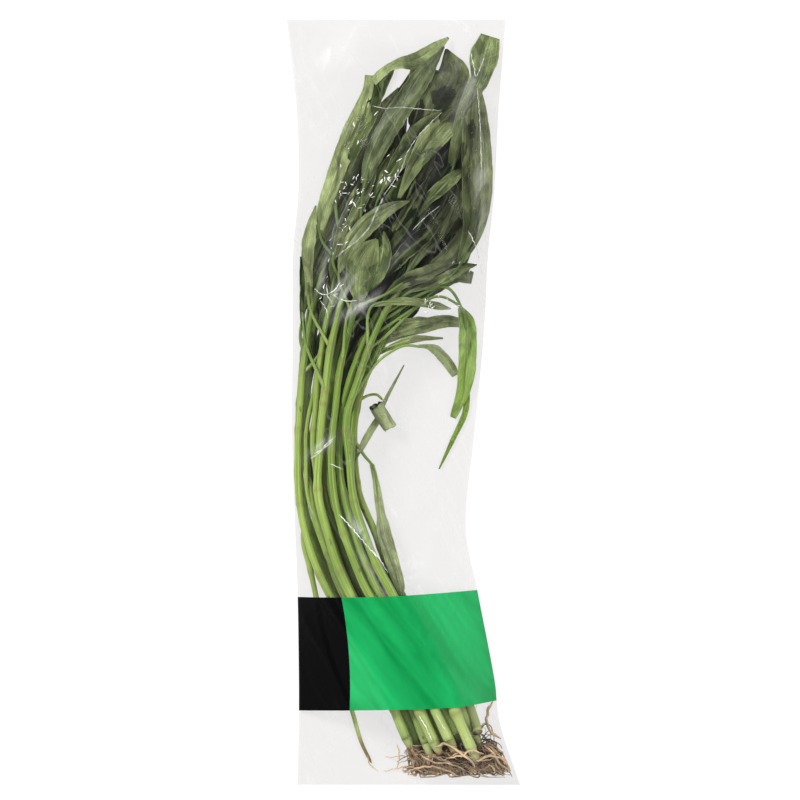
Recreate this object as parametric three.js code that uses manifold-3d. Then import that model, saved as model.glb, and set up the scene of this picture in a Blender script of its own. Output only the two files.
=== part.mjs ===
// A bunch of water spinach, pulled with its roots and packed in a clear flat sleeve, lying on its back.
// Millimetres. +Z is up, +Y runs from the roots to the leaf tips, and the origin is under the sleeve.
// The plants lie on each other in layers. Each is laid out flat first, as routes in X and Y, and each piece
// of it then comes to rest on a height map of all that lies below it, so that no plant crosses another.
import * as THREE from "three";
import { mergeVertices } from "three/addons/utils/BufferGeometryUtils.js";
import Module from "manifold-3d";

const wasm = await Module();
wasm.setup();

// Driving dimensions
const filmThickness = 0.5;
const sealWidth = 3;
const seed = 11;
const gap = 0.4; // clear space between two plants
const stemBaseRadius = 4.1;
const stemMiddleRadius = 2.7;
const stemTipRadius = 1.2;
const crownLength = 9;
const crownGap = 0.35; // between the green stem's end and the brown crown
const petioleHalfWidth = 0.9;
const petioleThickness = 1.5;
const bladeThickness = 0.7;
const rootRadius = 0.8;
const rootsPerPlant = 4;
const rootMargin = 8; // from the side fold to the nearest root
const edgeMargin = 5.4; // from the sleeve's side folds to the nearest leaf or stem
const rootFloorY = -245; // the lowest the roots reach
const rootFloorRise = 3.5; // how much sooner the roots of each higher row end
const tipCeilingY = 245; // the highest the leaves reach

// Where the film's shape is set across it, from the right fold at 1 to the left fold at -1
const filmPlaces = [1, 0.95, 0.87, 0.74, 0.57, 0.39, 0.2, 0, -0.2, -0.39, -0.57, -0.74, -0.87, -0.95, -1];
const filmSpans = filmPlaces.length - 1;
const foldHeight = 1.4; // the side folds' height above the floor
const foldInset = 0.9; // the film's thickness at a fold, measured sideways
const bottomRun = 3.4; // how far in from a fold the film reaches the floor
const mouthFromY = 200;
const mouthHeight = 7;

// Where the film's shape is set along the sleeve, from the seam to the mouth
const filmStations = [
  -252.4, -249.4, -246, -242, -237, -231, -224, -213, -198, -176, -150, -120, -88, -58, -30, -8, 10, 26, 42,
  60, 80, 102, 126, 150, 174, 196, 214, 228, 238, 246, 252.4,
];

// The sleeve's outline seen from above: [y, x of the left fold, x of the right fold]
const sleeveOutline = [
  [-252.4, -70.0, 76.9],
  [-211.0, -69.0, 63.4],
  [-184.0, -68.9, 60.3],
  [-124.0, -69.8, 48.8],
  [-82.0, -71.4, 41.2],
  [-18.0, -73.4, 47.2],
  [48.0, -73.0, 53.2],
  [100.0, -72.6, 56.0],
  [140.0, -69.2, 60.0],
  [190.0, -70.2, 62.6],
  [252.4, -76.9, 67.5],
];

// The bunch's own line seen from above: [y, x of its middle, half its width across the stems]
const bunchLine = [
  [-225, 27, 27],
  [-201, 17, 25],
  [-164, -2, 24],
  [-128, -24, 23],
  [-91, -40, 22],
  [-64, -48, 20.5],
  [-31, -50, 20],
  [2, -48, 21],
  [28, -42, 26],
  [68, -29, 34],
  [100, -13, 42],
  [133, 1, 44],
  [166, 10, 40],
  [199, 17, 34],
  [232, 24, 30],
];

// Rows of plants from the lowest up: how many lie side by side, and how far right of the bunch's middle the
// row lies. Places across the bunch are shares of its half width.
const rows = [5, 4, 5, 3];
const rowShifts = [0, 0, 0, 0.25];
const pitch = 0.5; // between neighbours in a row
const wander = 0.21; // how far a bare stem strays from its place on its way from the roots to the leaves
const handLaidFrom = 11; // the first plant whose leaves are placed one by one
const laidTops = [66, 88, 78, 86, 84, 82]; // where the stems of those plants end

// Leaves placed one by one: the plant, the y on its stem where the leaf starts, then [x, y, half width] on it
const laidLeaves = [
  [11, -72, [-32.5, -54, 0.9], [-32, -40, 0.9], [-27.5, -30, 1.7], [-19, -15, 2.6], [-13, -7, 6.2],
    [-8, 3, 2.2], [0.5, 24.6, 0.5]],
  [11, -24, [-25, -36, 0.9], [-20.7, -41, 0.9], [-16.7, -61.8, 2.9], [-14, -79, 4], [-8, -101, 4.9],
    [-0.9, -127.8, 0.9]],
  [11, 4, [-16, 36, 0.9], [-4, 46, 4], [16, 53, 5], [36, 54, 3.6], [46, 50.5, 2.2]],
  [11, 8, [-26, 43, 0.9], [-10, 46.5, 4.6], [8, 50.5, 5.2], [26, 54, 0.6]],
  [11, 0, [-18, 31, 0.9], [5, 41, 2.4], [26, 42, 0.6]],
  [12, 66, [-34, 100, 0.9], [-30, 112, 4], [-18, 140, 5.5], [-6, 166, 0.6]],
  [12, 60, [-30, 84, 0.9], [-22, 100, 5], [-12, 120, 6.4], [-4, 138, 4.4], [1, 150, 0.6]],
  [12, 96, [-22, 128, 0.9], [-4, 158, 3.4], [10, 184, 5.6], [24, 216, 8], [32, 238, 0.7]],
  [12, 40, [-46, 76, 0.9], [-44, 90, 4.6], [-38, 118, 6], [-30, 148, 0.6]],
  [13, -6, [-11, 31, 0.9], [1, 37, 0.9], [13, 36, 1.4], [26, 30, 2.6], [34, 17, 1]],
  [13, 40, [12, 66, 0.9], [23, 77, 4.6], [35, 84, 5.6], [46, 82, 4]],
  [13, 62, [38, 86, 0.9], [53, 120, 3.6], [55, 150, 4.8], [55.5, 176, 4.4], [56, 211, 0.6]],
  [13, 50, [30, 74, 0.9], [42, 50, 0.9], [42.5, 16, 1.2], [41, -6, 2], [33, -24, 1.6], [23.6, -44, 0.5]],
  [13, 84, [22, 126, 0.9], [27, 140, 5.6], [34, 162, 8], [40, 184, 0.6]],
  [13, 76, [10, 92, 0.9], [24, 112, 5], [34, 134, 6.4], [40, 152, 4], [43, 166, 0.6]],
  [13, 56, [14, 80, 0.9], [28, 90, 4.6], [40, 104, 5.4], [47, 122, 3.4], [50, 138, 0.6]],
  [14, 88, [-44, 130, 0.9], [-33, 170, 0.9], [-22, 208, 2.2], [-8, 218, 4.2], [10, 226.5, 4.6],
    [22, 234.5, 4.2], [30, 240.5, 0.8]],
  [14, 84, [-54, 108, 0.9], [-55, 120, 4.6], [-47, 148, 7.2], [-36, 180, 7.8], [-28, 202, 6.8],
    [-25, 213, 6]],
  [14, 74, [-46, 92, 0.9], [-40, 108, 4.6], [-30, 130, 6], [-22, 148, 4], [-17, 160, 0.6]],
  [14, 34, [-61, 62, 0.9], [-62.5, 79, 3.2], [-61.5, 106, 4.2], [-57, 128, 0.6]],
  [14, 8, [-64, 40, 0.9], [-66, 59, 1.6], [-66.5, 77, 1.8], [-67, 95, 0.5]],
  [15, 84, [2, 130, 0.9], [8, 146, 6], [20, 170, 9.5], [33, 187, 6.4], [42, 197, 0.6]],
  [15, 112, [24, 122, 0.9], [34, 160, 3], [40, 186, 5], [47, 212, 7], [54, 232, 6.4], [60, 241, 3]],
  [15, 74, [4, 100, 0.9], [14, 122, 5], [25, 146, 6.6], [34, 166, 5], [40, 182, 0.6]],
  [15, 70, [2, 84, 0.9], [10, 96, 3.6], [22, 112, 5], [30, 126, 3.4], [36, 138, 0.6]],
  [15, 66, [6, 76, 0.9], [18, 86, 4], [30, 97, 5], [38, 108, 3.6], [44, 122, 0.6]],
  [15, 62, [4, 72, 0.9], [16, 78, 4.2], [29, 84, 5], [40, 88, 3], [48, 90, 0.6]],
  [15, 58, [36, 88, 0.9], [46, 112, 5.6], [47, 140, 7], [46, 174, 6], [49, 208, 0.6]],
  [15, 36, [28, 68, 0.9], [39, 60, 1.2], [41, 47, 4.2], [41.4, 27, 6.6], [38.7, 9.4, 5],
    [32.8, -10.4, 0.9]],
  [15, 30, [-20, 63, 0.9], [1, 66, 2.6], [21, 63, 2.6], [31, 61, 0.5]],
  [16, 96, [-26, 138, 0.9], [-22, 154, 5], [-8, 182, 7], [10, 209, 6.4], [27, 234, 0.6]],
  [16, 74, [-14, 138, 0.9], [-5, 154, 5], [8, 174, 6], [25, 191, 0.6]],
  [16, 72, [-16, 90, 0.9], [-8, 104, 4], [2, 120, 5.4], [10, 134, 4], [16, 146, 0.6]],
  [16, 66, [-14, 80, 0.9], [-4, 92, 4.4], [8, 104, 5.4], [18, 112, 3.6], [26, 120, 0.6]],
  [16, 62, [-12, 70, 0.9], [0, 78, 4.2], [12, 83, 5], [24, 88, 3.4], [34, 91, 0.6]],
  [16, 56, [-42, 84, 0.9], [-38, 95, 4.2], [-23, 116, 6], [-7, 127, 3.6], [4, 131, 0.6]],
  [16, 26, [-36, 58, 0.9], [-32, 68, 6.4], [-27, 82, 11], [-22, 95, 8], [-18, 105, 0.8]],
];
// A thin side shoot that hangs from the outermost stem: [x, y, radius] along it
const sideShootPlant = 9;
const sideShootFrom = -76;
const sideShoot = [
  [-64.5, -92, 1.9],
  [-61, -108, 1.9],
  [-57.6, -128, 1.8],
  [-49, -165, 1.7],
  [-34, -203, 1.5],
  [-27, -226, 1.2],
  [-21, -238, 0.8],
];

const leafZoneY = -12; // below it the stems are bare
const stemFootY = -214; // where the stray of the bare stems begins

const degrees = Math.PI / 180;
const mix = (a, b, t) => a + (b - a) * t;
const clamp = (v, low, high) => Math.min(high, Math.max(low, v));

// Seeded draws, the same on every run
function makeDraw(start) {
  let state = start >>> 0;
  const next = () => {
    state = (Math.imul(state, 1664525) + 1013904223) >>> 0;
    return state / 4294967296;
  };
  for (let i = 0; i < 4; i++) next();
  return (low, high) => low + (high - low) * next();
}

// A smooth curve through rows of [y, value...], read at y
function smoothRow(rows, y, column) {
  const last = rows.length - 1;
  let i = 0;
  while (i < last - 1 && y > rows[i + 1][0]) i++;
  const slope = (k) => {
    const a = Math.max(0, k - 1);
    const b = Math.min(last, k + 1);
    return (rows[b][column] - rows[a][column]) / (rows[b][0] - rows[a][0]);
  };
  const span = rows[i + 1][0] - rows[i][0];
  const t = clamp((y - rows[i][0]) / span, 0, 1);
  const t2 = t * t;
  const t3 = t2 * t;
  return (
    rows[i][column] * (2 * t3 - 3 * t2 + 1) +
    slope(i) * span * (t3 - 2 * t2 + t) +
    rows[i + 1][column] * (3 * t2 - 2 * t3) +
    slope(i + 1) * span * (t3 - t2)
  );
}
const sleeveLeft = (y) => smoothRow(sleeveOutline, y, 1);
const sleeveRight = (y) => smoothRow(sleeveOutline, y, 2);
const bunchMiddle = (y) => smoothRow(bunchLine, y, 1);
const bunchHalf = (y) => smoothRow(bunchLine, y, 2);

function keepInside(p, halfWidth) {
  p.y = clamp(p.y, rootFloorY + halfWidth, tipCeilingY - halfWidth);
  p.x = clamp(
    p.x,
    sleeveLeft(p.y) + edgeMargin + halfWidth,
    sleeveRight(p.y) - edgeMargin - halfWidth,
  );
  return p;
}

// A route is a list of stations with a place, a half width and the sideways direction.
// Gives every station its sideways direction, square to the way the route runs there
function addSides(stations) {
  stations.forEach((s, i) => {
    const a = stations[Math.max(0, i - 1)];
    const b = stations[Math.min(stations.length - 1, i + 1)];
    const length = Math.hypot(b.x - a.x, b.y - a.y) || 1;
    s.sideX = (b.y - a.y) / length;
    s.sideY = -(b.x - a.x) / length;
  });
  return stations;
}

const stemRadius = (y) =>
  y < 0
    ? mix(stemBaseRadius, stemMiddleRadius, clamp((y + 212) / 170, 0, 1))
    : mix(stemMiddleRadius, stemTipRadius, clamp(y / 190, 0, 1));

// The height of a stem's axis where it lies on the film
const restHeight = (y) => filmThickness + gap + stemRadius(y) * 1.04;

function stemRoute(plant) {
  const { draw, baseY, topY, rootPlace, topPlace } = plant;
  const steps = Math.round((topY - baseY) / 32);
  const stations = [];
  for (let i = 0; i <= steps; i++) {
    const y = mix(baseY, topY, i / steps);
    const spread = clamp((y - leafZoneY) / 110, 0, 1);
    const bare = clamp((y - stemFootY) / (leafZoneY - stemFootY), 0, 1);
    const stray = plant.stray * Math.sin(bare * Math.PI);
    const place = mix(rootPlace, topPlace, spread * spread * (3 - 2 * spread)) + stray;
    const kink = draw(-0.3, 0.3) + spread * draw(-1.5, 1.5);
    const radius = stemRadius(y) * plant.size;
    const p = { x: bunchMiddle(y) + place * (bunchHalf(y) - stemRadius(y)) + kink, y };
    keepInside(p, radius - 2.2);
    stations.push({ x: p.x, y: p.y, half: radius });
  }
  return stations;
}

// The brown end of the stem that the roots grow from carries on in line with it
function crownRoute(stem) {
  const [a, b] = stem;
  const length = Math.hypot(b.x - a.x, b.y - a.y);
  const at = (s, half) => ({
    x: a.x + ((a.x - b.x) * s) / length,
    y: a.y + ((a.y - b.y) * s) / length,
    half: a.half * half,
  });
  return [at(crownLength, 0.42), at(crownLength * 0.5, 0.8), at(crownGap, 0.96)];
}

// The place on a route at height y, and which way the route runs there
function pointOn(route, y) {
  let i = 0;
  while (i < route.length - 2 && y > route[i + 1].y) i++;
  const a = route[i];
  const b = route[i + 1];
  const t = clamp((y - a.y) / (b.y - a.y), 0, 1);
  return {
    x: mix(a.x, b.x, t),
    y: mix(a.y, b.y, t),
    z: a.z === undefined ? 0 : mix(a.z, b.z, t),
    half: mix(a.half, b.half, t),
    heading: Math.atan2(b.x - a.x, b.y - a.y),
  };
}

const petioleFoot = 5; // where the petiole is clear of its stem
const bladeParts = [
  { at: 0.1, width: 0.8 },
  { at: 0.36, width: 1 },
  { at: 0.7, width: 0.68 },
  { at: 1, width: 0.07 },
];

// A leaf leaves the stem at an angle, then runs with the bunch to a place of its own across the bunch's
// width. share says how far up its stem it grows: the youngest leaves, at the tip, are the smallest. One edge
// may stand up.
function leafRoute(plant, stem, y, side, share) {
  const { draw } = plant;
  const from = pointOn(stem, y);
  const petiole = draw(16, 32) * mix(1, 0.7, share);
  const blade = Math.min(draw(84, 118) * mix(1, 0.72, share), (tipCeilingY - y - petiole) * 1.02);
  const halfWidth = draw(5.6, 8.4) * mix(1, 0.8, share);
  const splay = side * draw(32, 48) * degrees;
  const roll = draw(-0.8, 0.8);
  const reach = mix(draw(0.6, 1), draw(0.2, 0.4), share);
  const tipY = y + petiole + blade;
  let place = plant.topPlace + side * reach;
  if (Math.abs(place) > 0.98) place = Math.sign(place) * draw(0.6, 0.98);
  const tipX = bunchMiddle(tipY) + place * (bunchHalf(tipY) - halfWidth);
  const stations = [];
  const p = { x: from.x, y: from.y };
  const distances = [
    ...[0, petioleFoot, petiole].map((s) => ({ s, half: petioleHalfWidth, thick: petioleThickness })),
    ...bladeParts.map((b) => ({
      s: petiole + b.at * blade,
      half: Math.max(0.5, b.width * halfWidth),
      thick: bladeThickness,
    })),
  ];
  let before = 0;
  for (const d of distances) {
    const step = d.s - before;
    const aim = Math.atan2(tipX - p.x, Math.max(25, tipY - p.y));
    const heading = mix(aim, from.heading + splay, Math.exp(-d.s / 24));
    p.x += Math.sin(heading) * step;
    p.y += Math.cos(heading) * step;
    if (d.s > 0) keepInside(p, d.half);
    const standing = d.thick === bladeThickness ? Math.abs(roll) : 0;
    stations.push({
      x: p.x,
      y: p.y,
      half: d.half,
      thick: d.thick,
      upLeft: roll < 0 ? standing : 0,
      upRight: roll > 0 ? standing : 0,
    });
    before = d.s;
  }
  return addSides(stations);
}

// A leaf along a line placed by hand
function laidRoute(stem, y, line) {
  const from = pointOn(stem, y);
  const foot = petioleFoot / Math.hypot(line[0][0] - from.x, line[0][1] - from.y);
  const flat = { upLeft: 0, upRight: 0 };
  const stations = [{ x: from.x, y: from.y, half: petioleHalfWidth, thick: petioleThickness, ...flat }];
  const footAt = [mix(from.x, line[0][0], foot), mix(from.y, line[0][1], foot), petioleHalfWidth];
  for (const [x, y, half] of [footAt, ...line]) {
    const blade = stations.at(-1).thick === bladeThickness || half > 1.3;
    const station = { x, y, half, thick: blade ? bladeThickness : petioleThickness, ...flat };
    stations.push(keepInside(station, half));
  }
  return addSides(stations);
}

const rootSteps = [0.34, 0.58, 0.8, 1];

// A root runs straight on from the crown, clear of its neighbours, before it fans out
function rootRoute(plant, crown, index) {
  const { draw } = plant;
  const [end, middle, top] = crown;
  const along = index % 2 ? 0.35 : 0.75;
  const aside = ((2 * index + 1) / rootsPerPlant - 1) * -0.4 * end.half;
  const from = {
    x: mix(end.x, middle.x, along) + aside * end.sideX,
    y: mix(end.y, middle.y, along) + aside * end.sideY,
    z: mix(end.z, middle.z, along) + (index % 2 ? 0.35 : -0.35) * end.half,
  };
  const down = Math.atan2(end.x - top.x, end.y - top.y);
  const fan = mix(-1, 1, (index + 0.5) / rootsPerPlant) + draw(-0.2, 0.2);
  const turn = draw(-0.9, 0.9);
  const length = draw(26, 46);
  const floor = rootFloorY + plant.row * rootFloorRise + draw(0, 9);
  const stations = [{ ...from, half: rootRadius }];
  const p = { x: from.x, y: from.y };
  let before = 0;
  for (const share of rootSteps) {
    const heading = down + (share > 0.4 ? fan : fan * 0.1) + turn * share;
    p.x += Math.sin(heading) * length * (share - before);
    p.y += Math.cos(heading) * length * (share - before);
    stations.push({ x: p.x, y: p.y, half: mix(rootRadius, 0.5, share) });
    before = share;
  }
  // a root with too little room is squeezed towards its crown
  const lowest = Math.min(...stations.map((s) => s.y));
  const right = Math.max(...stations.map((s) => s.x + rootMargin - sleeveRight(Math.max(s.y, floor))));
  const squeezeY = lowest < floor ? (floor - from.y) / (lowest - from.y) : 1;
  const widest = Math.max(...stations.map((s) => s.x)) - from.x;
  const squeezeX = right > 0 ? Math.max(0.1, (widest - right) / widest) : 1;
  for (const s of stations) {
    s.x = from.x + (s.x - from.x) * squeezeX;
    s.y = from.y + (s.y - from.y) * squeezeY;
  }
  return addSides(stations);
}

// The pile is a height map of everything laid down so far
const cell = 1;
const mapLow = { x: -80, y: -256 };
const mapColumns = Math.ceil(160 / cell);
const mapRows = Math.ceil(512 / cell);

class Pile {
  constructor(heights) {
    this.heights = heights || new Float32Array(mapColumns * mapRows).fill(filmThickness);
  }
  copy() {
    return new Pile(this.heights.slice());
  }
  column(x) {
    return clamp(Math.floor((x - mapLow.x) / cell), 1, mapColumns - 2);
  }
  row(y) {
    return clamp(Math.floor((y - mapLow.y) / cell), 1, mapRows - 2);
  }
  // The highest thing within one cell of a place
  near(x, y) {
    const c = this.column(x);
    const r = this.row(y);
    let high = 0;
    for (let j = r - 1; j <= r + 1; j++)
      for (let i = c - 1; i <= c + 1; i++) high = Math.max(high, this.heights[j * mapColumns + i]);
    return high;
  }
  raise(x, y, z) {
    const at = this.row(y) * mapColumns + this.column(x);
    this.heights[at] = Math.max(this.heights[at], z);
  }
}

// Visits a grid of places over one stretch of a route: t runs along it, from 0 to 1
function visit(route, i, each) {
  const a = route[i];
  const b = route[i + 1];
  const along = Math.ceil(Math.hypot(b.x - a.x, b.y - a.y) / (cell * 0.6)) + 1;
  const across = Math.ceil((2 * Math.max(a.half, b.half)) / (cell * 0.6)) + 1;
  for (let m = 0; m <= along; m++) {
    const t = m / along;
    for (let n = 0; n <= across; n++) {
      const v = (2 * n) / across - 1;
      const wa = v * a.half;
      const wb = v * b.half;
      each(
        mix(a.x + a.sideX * wa, b.x + b.sideX * wb, t),
        mix(a.y + a.sideY * wa, b.y + b.sideY * wb, t),
        t,
        mix(wa, wb, t),
        mix(a.half, b.half, t),
      );
    }
  }
}

// How far a round piece reaches from its axis at a sideways distance d
const roundReach = (d, half) => (Math.abs(d) < half ? Math.sqrt(half * half - d * d) : 0);

// How far a blade's face stands above its middle line: the standing edge is a straight rise across
function bladeRise(route, i, t, d, half) {
  const v = clamp((d / half + 1) / 2, 0, 1);
  return mix(
    mix(route[i].upLeft, route[i].upRight, v),
    mix(route[i + 1].upLeft, route[i + 1].upRight, v),
    t,
  );
}

// Lowers the heights z of a chain as far as they go. Each stretch i has wants [t, height]: how high it must
// stand at t between its two ends. floors are the least heights, bend is the sag allowed between neighbours,
// and the ends named in fixed keep their heights.
function lower(z, wants, floors, bend, fixed) {
  const last = z.length - 1;
  const lowest = (i) => {
    let low = floors[i];
    for (const [t, want] of wants[i - 1] || [])
      if (t > 0) low = Math.max(low, (want - z[i - 1] * (1 - t)) / t);
    for (const [t, want] of wants[i] || [])
      if (t < 1) low = Math.max(low, (want - z[i + 1] * t) / (1 - t));
    if (i > 0 && i < last) low = Math.max(low, (z[i - 1] + z[i + 1]) / 2 - bend);
    return low;
  };
  for (let round = 0; round < 40; round++)
    for (let i = 0; i <= last; i++)
      if (!fixed.includes(i)) z[i] = Math.min(z[i], mix(z[i], lowest(i), 0.5));
}

// Finds low heights at which a route lies clear of the pile. bend is the sag it may have between stations,
// and floorAt the height that it may not go below at a given y.
function settle(route, kind, piles, { start, bend, floorAt = () => 0 }) {
  const wants = route.slice(1).map((_, i) => {
    const byT = new Map();
    const pile = piles[Math.min(i, piles.length - 1)];
    visit(route, i, (x, y, t, d, half) => {
      if (start !== undefined && i === 0 && t < 0.8) return;
      const below =
        kind === "round"
          ? roundReach(d, half)
          : mix(route[i].thick, route[i + 1].thick, t) / 2 - bladeRise(route, i, t, d, half);
      const want = pile.near(x, y) + gap + below;
      if (!(byT.get(t) >= want)) byT.set(t, want);
    });
    return [...byT];
  });
  const floors = route.map((s) => floorAt(s.y));
  const z = floors.map((floor, i) =>
    Math.max(floor, ...[...(wants[i - 1] || []), ...(wants[i] || [])].map(([, want]) => want)),
  );
  if (start !== undefined) {
    z[0] = start;
    for (const [t, want] of wants[0]) z[1] = Math.max(z[1], (want - start * (1 - t)) / t);
  }
  lower(z, wants, floors, bend, start === undefined ? [] : [0]);
  route.forEach((s, i) => (s.z = z[i]));
}

// A blade keeps its thickness where it runs up or down: its upper face stands higher there
function thicken(route) {
  route.forEach((s, i) => {
    const a = route[Math.max(0, i - 1)];
    const b = route[Math.min(route.length - 1, i + 1)];
    const slope = (b.z - a.z) / Math.hypot(b.x - a.x, b.y - a.y);
    s.top = s.thick * (Math.min(2.2, Math.hypot(1, slope)) - 0.5);
  });
}

function layOn(pile, route, kind) {
  for (let i = 0; i < route.length - 1; i++)
    visit(route, i, (x, y, t, d, half) => {
      const above =
        kind === "round"
          ? roundReach(d, half)
          : mix(route[i].top, route[i + 1].top, t) + bladeRise(route, i, t, d, half);
      pile.raise(x, y, mix(route[i].z, route[i + 1].z, t) + above);
    });
}

// A closed skin over rings of points. The flips say which side faces are split along their other diagonal.
function loft(rings, flips = []) {
  const n = rings[0].length;
  const positions = rings.flat(2);
  const index = [];
  for (let r = 0; r < rings.length - 1; r++)
    for (let k = 0; k < n; k++) {
      const a = r * n + k;
      const b = r * n + ((k + 1) % n);
      const c = b + n;
      const d = a + n;
      if (flips[k]) index.push(a, d, b, b, d, c);
      else index.push(a, c, b, a, d, c);
    }
  const end = (rings.length - 1) * n;
  for (let k = 1; k < n - 1; k++) {
    index.push(0, k, k + 1);
    index.push(end, end + k + 1, end + k);
  }
  const g = new THREE.BufferGeometry();
  g.setAttribute("position", new THREE.Float32BufferAttribute(positions, 3));
  g.setIndex(index);
  return g;
}

function solidOf(geometry) {
  const merged = mergeVertices(geometry, 1e-5);
  return new wasm.Manifold(
    new wasm.Mesh({
      numProp: 3,
      vertProperties: merged.attributes.position.array,
      triVerts: new Uint32Array(merged.index.array),
    }),
  );
}

function geometryOf(solid) {
  const mesh = solid.getMesh();
  const g = new THREE.BufferGeometry();
  g.setAttribute("position", new THREE.Float32BufferAttribute(mesh.vertProperties, 3));
  g.setIndex(new THREE.BufferAttribute(mesh.triVerts, 1));
  return g;
}

// A round piece: each ring stands upright, square to the route as seen from above
function tubeSolid(route, sides) {
  const rings = route.map((s) =>
    Array.from({ length: sides }, (_, k) => {
      const turn = Math.PI / 2 + (2 * Math.PI * k) / sides;
      const across = Math.cos(turn) * s.half;
      return [s.x + s.sideX * across, s.y + s.sideY * across, s.z + Math.sin(turn) * s.half];
    }),
  );
  return solidOf(loft(rings));
}

function bladeSolid(route) {
  const rings = route.map((s) => {
    const corner = (v, rise) => [s.x + s.sideX * s.half * v, s.y + s.sideY * s.half * v, s.z + rise];
    return [
      corner(1, s.upRight + s.top),
      corner(-1, s.upLeft + s.top),
      corner(-1, s.upLeft - s.thick / 2),
      corner(1, s.upRight - s.thick / 2),
    ];
  });
  return solidOf(loft(rings, [true, false, false, false]));
}

function planPlant(index, row, slot) {
  const draw = makeDraw(seed * 1000 + index * 77);
  const place = (slot - (rows[row] - 1) / 2) * pitch;
  const plant = {
    index,
    row,
    draw,
    size: draw(0.9, 1.04),
    baseY: draw(-226, -215),
    topY: draw(96, 168),
    rootPlace: place + rowShifts[row] + draw(-0.02, 0.02),
    topPlace: clamp(place + draw(-0.2, 0.2), -0.97, 0.97),
    stray: wander * Math.sin(3.7 * index + 1.1 * row),
  };
  if (index >= handLaidFrom) plant.topY = laidTops[index - handLaidFrom];
  return plant;
}

const stemSides = 6;
const rootSides = 3;
const group = new THREE.Group();
const stemMaterial = new THREE.MeshStandardMaterial({ color: 0x7fa845, roughness: 0.5, metalness: 0 });
const rootMaterial = new THREE.MeshStandardMaterial({ color: 0xa98a63, roughness: 0.9, metalness: 0 });
const filmMaterial = new THREE.MeshStandardMaterial({
  color: 0xf4f4f6,
  roughness: 0.12,
  metalness: 0,
  transparent: true,
  opacity: 0.18,
});

// A union can close off a sliver of space inside itself, which is left out here
function addMesh(name, solid, material) {
  const whole = solid.decompose().sort((a, b) => b.volume() - a.volume())[0];
  const mesh = new THREE.Mesh(geometryOf(whole), material);
  mesh.name = name;
  group.add(mesh);
}

function leavesOf(plant, stem) {
  if (plant.index >= handLaidFrom)
    return laidLeaves
      .filter(([index]) => index === plant.index)
      .map(([, y, ...line]) => laidRoute(stem, y, line));
  const leaves = [];
  const count = 5 + Math.round(plant.draw(0, 1.4));
  const lowest = plant.draw(8, 34);
  for (let k = 0; k < count; k++) {
    const share = k / (count - 1);
    const y = clamp(mix(lowest, plant.topY - 3, share) + plant.draw(-4, 4), lowest, plant.topY - 2);
    const side = (k + plant.index) % 2 ? 1 : -1;
    leaves.push(leafRoute(plant, stem, y, side, share));
  }
  return leaves;
}

function buildPlant(plant, pile) {
  const below = pile.copy();
  const green = stemRoute(plant);
  const whole = addSides([...crownRoute(green), ...green]);
  settle(whole, "round", [below], { bend: 3, floorAt: restHeight });
  const crown = whole.slice(0, 3);
  const stem = whole.slice(3);
  layOn(pile, whole, "round");
  const leaves = below.copy();
  let solid = tubeSolid(stem, stemSides);

  if (plant.index === sideShootPlant) {
    const from = pointOn(stem, sideShootFrom);
    const shoot = addSides([{ ...from, half: 1.9 }, ...sideShoot.map(([x, y, half]) => ({ x, y, half }))]);
    settle(shoot, "round", [below], { start: from.z, bend: 3 });
    layOn(pile, shoot, "round");
    solid = solid.add(tubeSolid(shoot, stemSides));
  }
  for (const leaf of leavesOf(plant, stem)) {
    const from = pointOn(stem, leaf[0].y);
    settle(leaf, "blade", [below, below, leaves], { start: from.z + 0.2 * from.half, bend: 4 });
    thicken(leaf);
    layOn(pile, leaf, "blade");
    layOn(leaves, leaf, "blade");
    solid = solid.add(bladeSolid(leaf));
  }

  let roots = tubeSolid(crown, stemSides);
  for (let k = 0; k < rootsPerPlant; k++) {
    const root = rootRoute(plant, crown, k);
    settle(root, "round", [below, below, pile], { start: root[0].z, bend: 2 });
    layOn(pile, root, "round");
    roots = roots.add(tubeSolid(root, rootSides));
  }
  const number = String(plant.index + 1).padStart(2, "0");
  addMesh("leafy_stem_" + number, solid, stemMaterial);
  addMesh("roots_" + number, roots, rootMaterial);
}

// The highest things below the film in each column of the map between two values of y
function columnTops(pile, lowY, highY) {
  const tops = [];
  for (let i = 0; i < mapColumns; i++) {
    let high = 0;
    for (let r = pile.row(lowY); r <= pile.row(highY); r++)
      high = Math.max(high, pile.heights[r * mapColumns + i]);
    if (high > filmThickness) tops.push([mapLow.x + i * cell, high], [mapLow.x + (i + 1) * cell, high]);
  }
  return tops;
}

// The tightest line from fold to fold over those tops
function stretchedLine(points) {
  const line = [];
  for (const p of points) {
    while (line.length > 1) {
      const [a, b] = line.slice(-2);
      if ((b[0] - a[0]) * (p[1] - a[1]) - (b[1] - a[1]) * (p[0] - a[0]) < 0) break;
      line.pop();
    }
    line.push(p);
  }
  const heightAt = (x) => {
    let i = 0;
    while (i < line.length - 2 && x > line[i + 1][0]) i++;
    const t = clamp((x - line[i][0]) / (line[i + 1][0] - line[i][0]), 0, 1);
    return mix(line[i][1], line[i + 1][1], t);
  };
  return { line, heightAt };
}

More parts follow.
